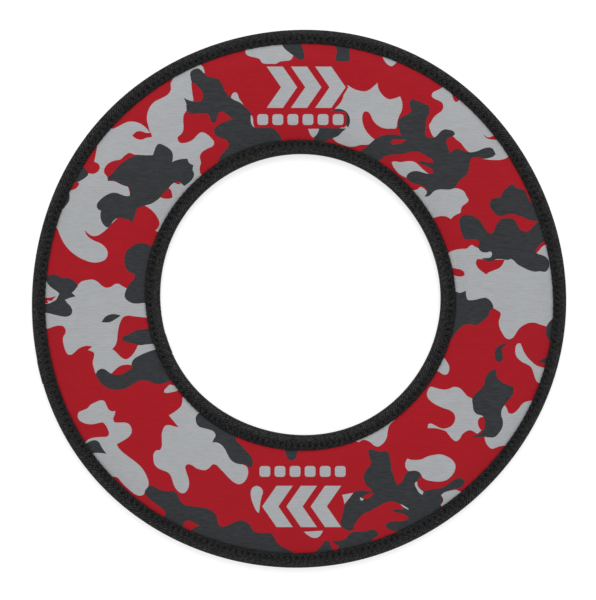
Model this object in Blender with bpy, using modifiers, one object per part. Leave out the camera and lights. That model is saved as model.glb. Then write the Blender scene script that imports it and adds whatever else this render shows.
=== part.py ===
"""Soft flying ring for lawn games: a flat padded ring, bound with tape at its rim and round its hole.

Two laminates (printed jersey, neoprene foam, lining jersey) face each other over a foam core. They are
pinched together at both edges, where a folded tape closes them and one row of lockstitch runs through
everything. Metres, +Z up; the origin is on the ring's axis, at the ground it lies on.
"""

from math import cos, pi, sin

import bpy

# Sizes across the ring.
OUTER_RADIUS = 0.150
HOLE_RADIUS = 0.0786
OUTER_TAPE_SHOWS = 0.0080  # width of folded tape seen on each face at the rim
INNER_TAPE_SHOWS = 0.0081  # the same round the hole
RISE_WIDTH = 0.0120  # from a tape's edge to the flat middle of the band
CORE_TAPER = 0.25  # share of that rise at which the core's tapered edge begins

# Thicknesses.
GAP = 0.0003  # between pieces that touch
CORE_THICKNESS = 0.0025
LINING_THICKNESS = 0.0004
FOAM_THICKNESS = 0.0020
FOAM_PINCHED = 0.0006  # the same foam, squeezed under the tape
JERSEY_THICKNESS = 0.0005
TAPE_THICKNESS = 0.0006
FOLD_DEPTH = 0.0015  # how far the tape's fold stands off the cut edges inside it

# Stitching: the thread lies in a shallow groove that it pulls into the tape.
STITCH_INSET = 0.0024  # from the tape's edge on the face to the stitch row
THREAD_RADIUS = 0.00025
THREAD_LIFT = 0.00015  # height of the thread's centre above the tape's face
GROOVE_HALF_WIDTH = 0.0007
GROOVE_DEPTH = 0.0003

# Roundness.
STEPS_AROUND = 60
RISE_SHARES = (0.0, 0.5, 1.0)  # where the rise to the middle of the band has its points
FOLD_STEPS_OUTSIDE = 4
FOLD_STEPS_INSIDE = 3
THREAD_SIDES = 6

# Heights above the ring's mid-plane, as (in the middle of the band, at the bound edges). At the bound
# edges the core is left out and the two linings meet.
LINING_UNDER = (CORE_THICKNESS / 2 + GAP, GAP / 2)
LINING_OVER = (LINING_UNDER[0] + LINING_THICKNESS, LINING_UNDER[1] + LINING_THICKNESS)
FOAM_UNDER = (LINING_OVER[0] + GAP, LINING_OVER[1] + GAP)
FOAM_OVER = (FOAM_UNDER[0] + FOAM_THICKNESS, FOAM_UNDER[1] + FOAM_PINCHED)
JERSEY_UNDER = (FOAM_OVER[0] + GAP, FOAM_OVER[1] + GAP)
JERSEY_OVER = (JERSEY_UNDER[0] + JERSEY_THICKNESS, JERSEY_UNDER[1] + JERSEY_THICKNESS)
TAPE_UNDER = JERSEY_OVER[1] + GAP
TAPE_OVER = TAPE_UNDER + TAPE_THICKNESS
MID_PLANE = JERSEY_OVER[0]  # height of the mid-plane above the ground

# Radii where the layers' cut edges, the tapes' edges and the stitch rows lie.
OUTER_CUT_EDGE = OUTER_RADIUS - TAPE_THICKNESS - FOLD_DEPTH
INNER_CUT_EDGE = HOLE_RADIUS + TAPE_THICKNESS + FOLD_DEPTH
OUTER_TAPE_EDGE = OUTER_RADIUS - OUTER_TAPE_SHOWS
INNER_TAPE_EDGE = HOLE_RADIUS + INNER_TAPE_SHOWS
OUTER_STITCH_RADIUS = OUTER_TAPE_EDGE + STITCH_INSET
INNER_STITCH_RADIUS = INNER_TAPE_EDGE - STITCH_INSET


def clear_scene():
    """Takes away every object of the startup scene."""
    for old in list(bpy.data.objects):
        bpy.data.objects.remove(old, do_unlink=True)


def ring_collection():
    """The collection that holds the ring's pieces."""
    collection = bpy.data.collections.new("soft_flying_ring")
    bpy.context.scene.collection.children.link(collection)
    return collection


def plain_material(name, colour, roughness):
    """A non-metal material of one linear colour."""
    material = bpy.data.materials.new(name)
    material.use_nodes = True
    shader = material.node_tree.nodes["Principled BSDF"]
    shader.inputs["Base Color"].default_value = (*colour, 1.0)
    shader.inputs["Roughness"].default_value = roughness
    shader.inputs["Metallic"].default_value = 0.0
    return material


def turned(name, profile, material, collection):
    """Turns a closed profile of (radius, height above the mid-plane) about the ring's axis.

    The profile runs outwards over its top and down its outer side.
    """
    mesh = bpy.data.meshes.new(name)
    count = len(profile)
    points = [(radius, 0.0, height) for radius, height in profile]
    edges = [(i, (i + 1) % count) for i in range(count)]
    mesh.from_pydata(points, edges, [])
    mesh.materials.append(material)
    piece = bpy.data.objects.new(name, mesh)
    collection.objects.link(piece)
    piece.location.z = MID_PLANE
    screw = piece.modifiers.new("turn", "SCREW")
    screw.axis = "Z"
    screw.angle = 2 * pi
    screw.steps = STEPS_AROUND
    screw.render_steps = STEPS_AROUND
    screw.use_merge_vertices = True
    screw.merge_threshold = 1e-5
    screw.use_smooth_shade = True
    return piece


def turn_over(piece):
    """Turns a piece built for the top face over, so that it lies against the underside."""
    piece.rotation_euler.x = pi


def rise(middle, bound, shares):
    """(share of the rise, height) from a tape's edge up to the flat middle of the band."""
    return [(share, bound + (middle - bound) * sin(share * pi / 2)) for share in shares]


def hole_to_rim(heights, shares):
    """Points of one surface across the band: up from the hole's tape, flat, and down to the rim's tape."""
    climb = rise(*heights, shares)
    up = [(INNER_TAPE_EDGE + share * RISE_WIDTH, height) for share, height in climb]
    down = [(OUTER_TAPE_EDGE - share * RISE_WIDTH, height) for share, height in reversed(climb)]
    return up + down


def layer_surface(heights):
    """One face of a layer, from its cut edge round the hole to its cut edge at the rim."""
    bound = heights[1]
    return [(INNER_CUT_EDGE, bound), *hole_to_rim(heights, RISE_SHARES), (OUTER_CUT_EDGE, bound)]


def layer(name, under, over, material, collection):
    """One full-width layer of the upper laminate, between two surfaces."""
    profile = layer_surface(over) + layer_surface(under)[::-1]
    return turned(name, profile, material, collection)


def foam_core(name, material, collection):
    """The buoyant foam ring between the laminates, tapered towards both edges."""
    half = CORE_THICKNESS / 2
    clear_of_lining = (half, LINING_UNDER[1] - GAP)
    top = hole_to_rim(clear_of_lining, (CORE_TAPER, *RISE_SHARES[1:]))
    bottom = [(radius, -height) for radius, height in reversed(top)]
    return turned(name, top + bottom, material, collection)


def fold(half_height, depth, steps):
    """The rounded fold of a tape from its top to its underside, as (distance past the flat part, height)."""
    angles = [pi / 2 - pi * i / steps for i in range(steps + 1)]
    return [(depth * cos(angle), half_height * sin(angle)) for angle in angles]


def stitch_groove(distance):
    """The groove pressed into a tape's upper face by its thread, as (distance from the tape's edge, height)."""
    return [
        (distance - GROOVE_HALF_WIDTH, TAPE_OVER),
        (distance, TAPE_OVER - GROOVE_DEPTH),
        (distance + GROOVE_HALF_WIDTH, TAPE_OVER),
    ]


def folded_tape(name, edge_radius, shows, outwards, material, collection):
    """A tape folded over a bound edge. outwards is +1 at the rim and -1 round the hole."""
    flat = shows - TAPE_THICKNESS - FOLD_DEPTH  # from the tape's edge to where the fold begins
    outside_fold = fold(TAPE_OVER, FOLD_DEPTH + TAPE_THICKNESS, FOLD_STEPS_OUTSIDE)
    inside_fold = fold(TAPE_UNDER, FOLD_DEPTH, FOLD_STEPS_INSIDE)
    top = [(0.0, TAPE_OVER), *stitch_groove(STITCH_INSET)]
    bottom = [(distance, -height) for distance, height in reversed(top)]
    outside = top + [(flat + past, height) for past, height in outside_fold] + bottom
    lining = [(0.0, TAPE_UNDER)] + [(flat + past, height) for past, height in inside_fold]
    lining.append((0.0, -TAPE_UNDER))
    section = outside + lining[::-1]
    profile = [(edge_radius + outwards * distance, height) for distance, height in section]
    if outwards < 0:
        profile.reverse()
    return turned(name, profile, material, collection)


def thread(name, radius, material, collection):
    """The thread of one stitch row, lying in the groove on the tape's upper face."""
    centre = TAPE_OVER + THREAD_LIFT
    angles = [-2 * pi * i / THREAD_SIDES for i in range(THREAD_SIDES)]
    profile = [
        (radius + THREAD_RADIUS * cos(angle), centre + THREAD_RADIUS * sin(angle)) for angle in angles
    ]
    return turned(name, profile, material, collection)


def main():
    clear_scene()
    pieces = ring_collection()
    print_jersey = plain_material("red_printed_jersey", (0.352, 0.0137, 0.0212), 0.85)
    neoprene = plain_material("black_neoprene_foam", (0.018, 0.018, 0.019), 0.90)
    lining = plain_material("charcoal_lining_jersey", (0.030, 0.030, 0.032), 0.88)
    core = plain_material("white_foam", (0.70, 0.70, 0.67), 0.80)
    tape = plain_material("black_woven_tape", (0.022, 0.022, 0.021), 0.75)
    yarn = plain_material("black_thread", (0.012, 0.012, 0.012), 0.55)

    foam_core("core_foam_ring", core, pieces)

    layer("top_lining_jersey", LINING_UNDER, LINING_OVER, lining, pieces)
    layer("top_neoprene_foam", FOAM_UNDER, FOAM_OVER, neoprene, pieces)
    layer("top_print_jersey", JERSEY_UNDER, JERSEY_OVER, print_jersey, pieces)
    turn_over(layer("bottom_lining_jersey", LINING_UNDER, LINING_OVER, lining, pieces))
    turn_over(layer("bottom_neoprene_foam", FOAM_UNDER, FOAM_OVER, neoprene, pieces))
    turn_over(layer("bottom_print_jersey", JERSEY_UNDER, JERSEY_OVER, print_jersey, pieces))

    folded_tape("outer_binding_tape", OUTER_TAPE_EDGE, OUTER_TAPE_SHOWS, 1, tape, pieces)
    folded_tape("inner_binding_tape", INNER_TAPE_EDGE, INNER_TAPE_SHOWS, -1, tape, pieces)

    thread("outer_needle_thread", OUTER_STITCH_RADIUS, yarn, pieces)
    thread("inner_needle_thread", INNER_STITCH_RADIUS, yarn, pieces)
    turn_over(thread("outer_bobbin_thread", OUTER_STITCH_RADIUS, yarn, pieces))
    turn_over(thread("inner_bobbin_thread", INNER_STITCH_RADIUS, yarn, pieces))


main()
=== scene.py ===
"""Looks of a soft flying ring: printed knit covers bonded to foam, closed at both edges by stitched tape.

The ring lies flat, so every piece is shaped as a true round ring first (radius, angle, height above the
mid-plane) and then settled into the slightly uneven outline that a soft ring takes. Metres throughout,
apart from the flat print and its mesh, which are in millimetres from the ring's axis, x right and y up.
A side is 1 for the upper face of the ring and -1 for the lower.
"""

from math import atan2, degrees, hypot, pi, radians
from typing import NamedTuple

import bmesh
import bpy
import numpy as np
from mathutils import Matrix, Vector
from mathutils.geometry import delaunay_2d_cdt
from mathutils.kdtree import KDTree


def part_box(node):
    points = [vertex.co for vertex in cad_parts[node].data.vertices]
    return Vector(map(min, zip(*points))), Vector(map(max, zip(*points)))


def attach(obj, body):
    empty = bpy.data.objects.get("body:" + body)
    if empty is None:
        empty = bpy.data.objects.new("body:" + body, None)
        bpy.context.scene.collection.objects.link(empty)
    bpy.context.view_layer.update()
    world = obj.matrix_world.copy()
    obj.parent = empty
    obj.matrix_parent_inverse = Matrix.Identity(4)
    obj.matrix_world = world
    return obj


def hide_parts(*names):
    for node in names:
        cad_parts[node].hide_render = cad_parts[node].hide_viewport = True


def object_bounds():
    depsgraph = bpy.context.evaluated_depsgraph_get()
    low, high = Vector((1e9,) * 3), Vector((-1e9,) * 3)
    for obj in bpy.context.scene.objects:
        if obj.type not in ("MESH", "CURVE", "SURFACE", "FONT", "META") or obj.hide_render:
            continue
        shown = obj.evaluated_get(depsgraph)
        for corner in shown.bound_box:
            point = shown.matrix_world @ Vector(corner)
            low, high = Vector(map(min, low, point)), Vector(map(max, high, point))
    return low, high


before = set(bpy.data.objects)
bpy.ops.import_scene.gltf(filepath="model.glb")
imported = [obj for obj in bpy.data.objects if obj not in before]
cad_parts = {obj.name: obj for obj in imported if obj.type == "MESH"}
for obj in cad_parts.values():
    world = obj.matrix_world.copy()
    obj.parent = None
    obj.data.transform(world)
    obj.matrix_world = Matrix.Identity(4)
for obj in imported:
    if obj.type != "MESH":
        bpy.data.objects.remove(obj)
cad_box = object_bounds()

MM = 0.001
TINY = 1e-6
FULL_TURN = 2 * pi


# ------------------------------------------------------------------ sizes read from the frame


def node_spots(node):
    """(distance from the ring's axis, height above the ground) of each point of a CAD node."""
    return [(hypot(v.co.x, v.co.y), v.co.z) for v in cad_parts[node].data.vertices]


def node_radii(node):
    """Smallest and largest distance of a CAD node's points from the ring's axis."""
    reaches = [reach for reach, _ in node_spots(node)]
    return min(reaches), max(reaches)


OUTER_TAPE_EDGE, OUTER_RADIUS = node_radii("outer_binding_tape")
HOLE_RADIUS, INNER_TAPE_EDGE = node_radii("inner_binding_tape")
INNER_CUT_EDGE, OUTER_CUT_EDGE = node_radii("top_print_jersey")
OUTER_STITCH_RADIUS = sum(node_radii("outer_needle_thread")) / 2
INNER_STITCH_RADIUS = sum(node_radii("inner_needle_thread")) / 2
THREAD_RADIUS = node_radii("outer_needle_thread")[1] - OUTER_STITCH_RADIUS
TAPE_LOW, TAPE_HIGH = (corner.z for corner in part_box("outer_binding_tape"))
MID_PLANE = (TAPE_LOW + TAPE_HIGH) / 2
TAPE_OVER = (TAPE_HIGH - TAPE_LOW) / 2  # height of a tape's face above the mid-plane
RISE_WIDTH = 12 * MM  # from a tape's free edge to the flat middle of the band
MIDDLE_MARGIN = 0.1 * MM  # how far outside the flat middle a point still counts as in it


def layer_heights(node):
    """(under, over) above the mid-plane of a CAD layer, in the middle of the band and at its cut edges."""
    spots = node_spots(node)
    rim = max(reach for reach, _ in spots)
    flat_from = INNER_TAPE_EDGE + RISE_WIDTH - MIDDLE_MARGIN
    flat_to = OUTER_TAPE_EDGE - RISE_WIDTH + MIDDLE_MARGIN
    middle = [height - MID_PLANE for reach, height in spots if flat_from < reach < flat_to]
    edge = [height - MID_PLANE for reach, height in spots if reach > rim - TINY]
    return (min(middle), max(middle)), (min(edge), max(edge))


# ------------------------------------------------------------------ the two bound edges

STITCH_LENGTH = 3.4 * MM


class BoundEdge(NamedTuple):
    """One edge of the ring, with the tape that is folded over it and the row of stitches through that."""

    name: str
    node: str  # how the names of its CAD nodes begin
    outwards: int  # 1 where the tape's fold faces away from the ring's axis, -1 where it faces the axis
    fold: float  # radius of the tape's fold
    free_edge: float  # radius of the tape's free edges
    stitch_row: float  # radius of the stitches
    lap_at: float  # direction in which the tape's two ends overlap
    gather_seed: int  # of the creases that its stitches pull into the covers

    @property
    def stitches(self):
        """Number of stitches in the row."""
        return round(FULL_TURN * self.stitch_row / STITCH_LENGTH)

    @property
    def length(self):
        """The way once round the tape's free edge."""
        return FULL_TURN * self.free_edge

    @property
    def inset(self):
        """Distance of the stitches from the tape's free edge."""
        return abs(self.stitch_row - self.free_edge)

    def inwards(self, radius):
        """Distance of places on the cover from the tape's free edge."""
        return self.outwards * (self.free_edge - radius)


RIM = BoundEdge(
    name="rim", node="outer", outwards=1, fold=OUTER_RADIUS, free_edge=OUTER_TAPE_EDGE,
    stitch_row=OUTER_STITCH_RADIUS, lap_at=radians(194), gather_seed=7,
)
HOLE = BoundEdge(
    name="hole", node="inner", outwards=-1, fold=HOLE_RADIUS, free_edge=INNER_TAPE_EDGE,
    stitch_row=INNER_STITCH_RADIUS, lap_at=radians(196), gather_seed=5,
)


def from_nearer_tape(radius):
    """Distance of places on the cover from the nearer tape's free edge."""
    return np.minimum(HOLE.inwards(radius), RIM.inwards(radius))


# ------------------------------------------------------------------ how the soft ring lies

# Lobes that pull each edge out of round: (number round the ring, height, direction of one lobe in
# degrees). Number 0 is a swelling all the way round.
RIM_LOBES = (
    (0, 0.2 * MM, 0), (2, 1.0 * MM, 60), (3, 0.4 * MM, -20), (4, 0.25 * MM, -35), (5, 0.4 * MM, -5),
)
HOLE_LOBES = ((0, -0.2 * MM, 0), (2, 0.4 * MM, -50), (3, 0.35 * MM, -35), (5, 0.2 * MM, 0))
HOLE_SHIFT = (1.2 * MM, 2.2 * MM)  # the hole's centre from the rim's

# Gathers that the tapes' stitches pull into the cover.
GATHER_COUNT = 9
FEWEST_GATHERS, MOST_GATHERS = 70, 150  # creases round the ring
GATHER_HEIGHT = 0.035 * MM
GATHER_REACH = 4.5 * MM
PUCKER_HEIGHT = 0.07 * MM
PUCKER_REACH = 1.6 * MM
REACH_UNDER_TAPE = 0.5 * MM

# The tapes are fed by hand, so their free edges stray a little to and fro beside the stitches. What a tape
# gains on one face it loses on the other.
STRAY_SEED = 11
STRAY_HEIGHT = 0.17 * MM  # of each of its waves
STRAY_WAVES = (1, 2, 3, 4, 5, 6)  # round the ring


def lobed(angle, lobes):
    """How far an edge stands off its true circle."""
    return sum(height * np.cos(count * (angle - radians(turn))) for count, height, turn in lobes)


def edges_at(angle):
    """Distances from the ring's axis to the hole's edge and to the rim, as the ring lies."""
    shift = HOLE_SHIFT[0] * np.cos(angle) + HOLE_SHIFT[1] * np.sin(angle)
    return HOLE_RADIUS + shift + lobed(angle, HOLE_LOBES), OUTER_RADIUS + lobed(angle, RIM_LOBES)


def settle(radius, angle, height):
    """Points of the lying ring, from radius, angle and height above the mid-plane on the true round ring."""
    hole, rim = edges_at(angle)
    reach = hole + (radius - HOLE_RADIUS) / (OUTER_RADIUS - HOLE_RADIUS) * (rim - hole)
    above_ground = MID_PLANE + height + 0 * reach
    return np.stack([reach * np.cos(angle), reach * np.sin(angle), above_ground], axis=-1)


def unsettle(x, y):
    """(radius, angle) on the true round ring of places on the lying one."""
    angle = np.arctan2(y, x)
    hole, rim = edges_at(angle)
    share = (np.hypot(x, y) - hole) / (rim - hole)
    return HOLE_RADIUS + share * (OUTER_RADIUS - HOLE_RADIUS), angle


def faded(distance, reach):
    """Rises smoothly from 0, at no distance or less, to 1 from reach onwards."""
    share = np.clip(distance / reach, 0, 1)
    return share * share * (3 - 2 * share)


def strayed(edge, angle, side):
    """How far a tape's free edge lies outside its true circle."""
    draws = np.random.default_rng(STRAY_SEED + edge.outwards)
    waves = [np.cos(count * angle + draws.uniform(0, FULL_TURN)) for count in STRAY_WAVES]
    return side * STRAY_HEIGHT * sum(waves)


def beyond_tapes(radius, angle, side):
    """Distance of places on the cover from the nearer tape's free edge, where that has strayed to."""
    inner = HOLE.inwards(radius) - strayed(HOLE, angle, side)
    outer = RIM.inwards(radius) + strayed(RIM, angle, side)
    return np.minimum(inner, outer)


def gathers(edge, radius, angle, side):
    """Short creases that run from a tape into the cover, and the pucker at each stitch."""
    distance = edge.inwards(radius)
    draws = np.random.default_rng(edge.gather_seed + side)
    beyond = np.maximum(distance, 0)
    under_tape = np.exp(np.minimum(distance, 0) / REACH_UNDER_TAPE)
    creases = 0 * angle
    for _ in range(GATHER_COUNT):
        around = draws.integers(FEWEST_GATHERS, MOST_GATHERS)
        start = draws.uniform(0, FULL_TURN)
        creases = creases + GATHER_HEIGHT * np.cos(around * angle + start)
    pucker = -PUCKER_HEIGHT * np.cos(edge.stitches * angle) * np.exp(-beyond / PUCKER_REACH)
    return (creases * np.exp(-beyond / GATHER_REACH) + pucker) * under_tape


# ------------------------------------------------------------------ meshes


def closed_shape(name, points, faces):
    """An object with smooth faces that look outwards."""
    mesh = bpy.data.meshes.new(name)
    mesh.from_pydata(points.reshape(-1, 3).tolist(), [], faces)
    shape = bmesh.new()
    shape.from_mesh(mesh)
    bmesh.ops.recalc_face_normals(shape, faces=shape.faces)
    shape.to_mesh(mesh)
    shape.free()
    mesh.shade_smooth()
    made = bpy.data.objects.new(name, mesh)
    bpy.context.scene.collection.objects.link(made)
    return made


def new_piece(name, points, faces, material, stands_for):
    """A closed piece that rides on the ring and stands for a CAD node."""
    piece = closed_shape(name, points, faces)
    piece.data.materials.append(material)
    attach(piece, "root")
    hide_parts(stands_for)
    return piece


def hold_measure(piece, name, domain, values):
    """Keeps a number at each point or face of a piece, for its material to read."""
    attribute = piece.data.attributes.new(name, "FLOAT", domain)
    attribute.data.foreach_set("value", np.asarray(values, np.float32).ravel())


def sleeve_faces(steps, around, closed):
    """Quads between neighbouring sections of a sweep. An open sweep gets a flat cap at each end."""
    this = np.arange(steps if closed else steps - 1)[:, None]
    following = (this + 1) % steps
    here = np.arange(around)[None, :]
    beside = (here + 1) % around
    corners = [this * around + here, following * around + here]
    corners += [following * around + beside, this * around + beside]
    quads = np.stack(corners, axis=-1).reshape(-1, 4).tolist()
    if not closed:
        quads.append(list(range(around)))
        quads.append(list(range((steps - 1) * around, steps * around)))
    return quads


# ------------------------------------------------------------------ the padding's folds

# The covers are cut and sewn round and level. When the ring settles into the outline that it lies in, they
# go slack in some places and tight in others. A net of cloth, held at both tapes and blown out by its
# padding, shows where they fold. Bonded to foam, the real covers keep only a share of each fold.
NET_STEPS = 480
NET_ROWS = 15  # across each cover
NET_AROUND = 2 * NET_ROWS  # over the upper cover and back along the lower one
CLOTH_SLACK = 0.01  # share by which the cloth is cut larger than the net
PADDING_PRESSURE = 4.0
FOAM_GRIP = 0.1  # of the foam on the cloth, where 1 would hold it still
FIRST_FRAME = 1
SETTLED_FRAME = 10
LAST_FRAME = 20
DEEPEST_FOLD = 1.2 * MM
KEPT_SHARE = 0.15
FOLD_FADE = 9 * MM  # distance from a tape over which the folds begin


def rise_to_middle(radius, middle, edge):
    """Height of a layer's plain face, from its heights in the middle of the band and at its edges."""
    share = np.clip(from_nearer_tape(radius) / RISE_WIDTH, 0, 1)
    return edge + (middle - edge) * np.sin(share * pi / 2)


def cloth_net():
    """The net before and after the ring settles: sections over its upper cover and back along its lower."""
    (_, middle), (_, edge) = layer_heights("top_print_jersey")
    radius = np.linspace(INNER_TAPE_EDGE, OUTER_TAPE_EDGE, NET_ROWS)
    radius = np.concatenate([radius, radius[::-1]])
    side = np.repeat((1, -1), NET_ROWS)
    height = side * rise_to_middle(radius, middle, edge)
    angle = (np.arange(NET_STEPS) * FULL_TURN / NET_STEPS)[:, None] + 0 * radius
    lying = settle(radius, angle, height)
    cut = np.stack([radius * np.cos(angle), radius * np.sin(angle), lying[..., 2]], axis=-1)
    return cut, lying


def hold_net(net):
    """Pins the net where the tapes are and grips it lightly elsewhere. Gives the name of what holds it."""
    held = net.vertex_groups.new(name="held")
    for place in range(NET_AROUND):
        points = range(place, NET_STEPS * NET_AROUND, NET_AROUND)
        at_tape = place % NET_ROWS in (0, NET_ROWS - 1)
        held.add(points, 1.0 if at_tape else FOAM_GRIP, "REPLACE")
    return held.name


def settle_net(net, lying):
    """Moves what holds the net from where it was cut to where the ring lies."""
    net.shape_key_add(name="cut")
    settled = net.shape_key_add(name="lying")
    settled.data.foreach_set("co", lying.ravel())
    for moment, share in ((FIRST_FRAME, 0.0), (SETTLED_FRAME, 1.0)):
        settled.value = share
        settled.keyframe_insert("value", frame=moment)


def add_cloth(net, held):
    """Makes the net behave as the padded covers do, with the named group of points holding it."""
    modifier = net.modifiers.new("padding", "CLOTH")
    modifier.point_cache.frame_end = LAST_FRAME
    modifier.collision_settings.use_collision = False
    cloth = modifier.settings
    cloth.vertex_group_mass = held
    cloth.shrink_min = -CLOTH_SLACK
    cloth.shrink_max = -CLOTH_SLACK
    cloth.use_pressure = True
    cloth.uniform_pressure_force = PADDING_PRESSURE
    cloth.effector_weights.gravity = 0


def simulated_folds():
    """How far above its plain place each point of the net ends up."""
    cut, lying = cloth_net()
    net = closed_shape("net", cut, sleeve_faces(NET_STEPS, NET_AROUND, closed=True))
    held = hold_net(net)
    settle_net(net, lying)
    add_cloth(net, held)
    for moment in range(FIRST_FRAME, LAST_FRAME + 1):
        bpy.context.scene.frame_set(moment)
    blown = net.evaluated_get(bpy.context.evaluated_depsgraph_get()).data
    spots = np.empty(lying.size)
    blown.vertices.foreach_get("co", spots)
    bpy.data.objects.remove(net)
    bpy.context.scene.frame_set(FIRST_FRAME)
    return spots.reshape(lying.shape)[..., 2] - lying[..., 2]


def kept_folds():
    """How far out each cover's kept folds stand: by side, then by step and row of the net."""
    folds = simulated_folds()
    blown_out = {1: folds[:, :NET_ROWS], -1: -folds[:, NET_ROWS:][:, ::-1]}
    kept = {}
    for side, depth in blown_out.items():
        uneven = depth - depth.mean(axis=0)
        kept[side] = KEPT_SHARE * np.clip(uneven, -DEEPEST_FOLD, DEEPEST_FOLD)
    return kept


FOLDS = kept_folds()


def spline_shares(t):
    """Cubic B-spline shares of four values in a row, at t of the way from the second to the third."""
    return (
        (1 - t) ** 3 / 6,
        (3 * t**3 - 6 * t**2 + 4) / 6,
        (-3 * t**3 + 3 * t**2 + 3 * t + 1) / 6,
        t**3 / 6,
    )


def fold_height(radius, angle, side):
    """Height of a cover's kept folds at places on the true round ring, on a smooth surface over the net."""
    step = (angle % FULL_TURN) / FULL_TURN * NET_STEPS
    row = (radius - INNER_TAPE_EDGE) / (OUTER_TAPE_EDGE - INNER_TAPE_EDGE) * (NET_ROWS - 1)
    first_step = np.floor(step).astype(int)
    first_row = np.floor(row).astype(int)
    total = 0 * radius
    for i, along in enumerate(spline_shares(step - first_step)):
        for j, across in enumerate(spline_shares(row - first_row)):
            net_step = (first_step + i - 1) % NET_STEPS
            net_row = np.clip(first_row + j - 1, 0, NET_ROWS - 1)
            total = total + along * across * FOLDS[side][net_step, net_row]
    return total


def relief(radius, angle, side):
    """How far the padding stands proud of its plain shape.

    The lower side is pressed flat against the ground, so it only hollows.
    """
    proud = fold_height(radius, angle, side) * faded(from_nearer_tape(radius), FOLD_FADE)
    for edge in (HOLE, RIM):
        proud = proud + gathers(edge, radius, angle, side)
    return proud if side > 0 else np.minimum(proud, 0)


def padded_height(radius, angle, middle, edge):
    """Height of a layer's face, from its heights in the middle of the band and at its edges."""
    side = 1 if middle > 0 else -1
    return rise_to_middle(radius, middle, edge) + side * relief(radius, angle, side)


def two_faces(node, radius, angle):
    """A CAD layer's upper and lower face, padded and settled, at places on the true round ring."""
    (low, high), (low_edge, high_edge) = layer_heights(node)
    upper = settle(radius, angle, padded_height(radius, angle, high, high_edge))
    lower = settle(radius, angle, padded_height(radius, angle, low, low_edge))
    return upper, lower


# ------------------------------------------------------------------ the print

RED, LIGHT, DARK = 0.0, 0.5, 1.0  # inks, as the print's face attribute holds them

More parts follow.
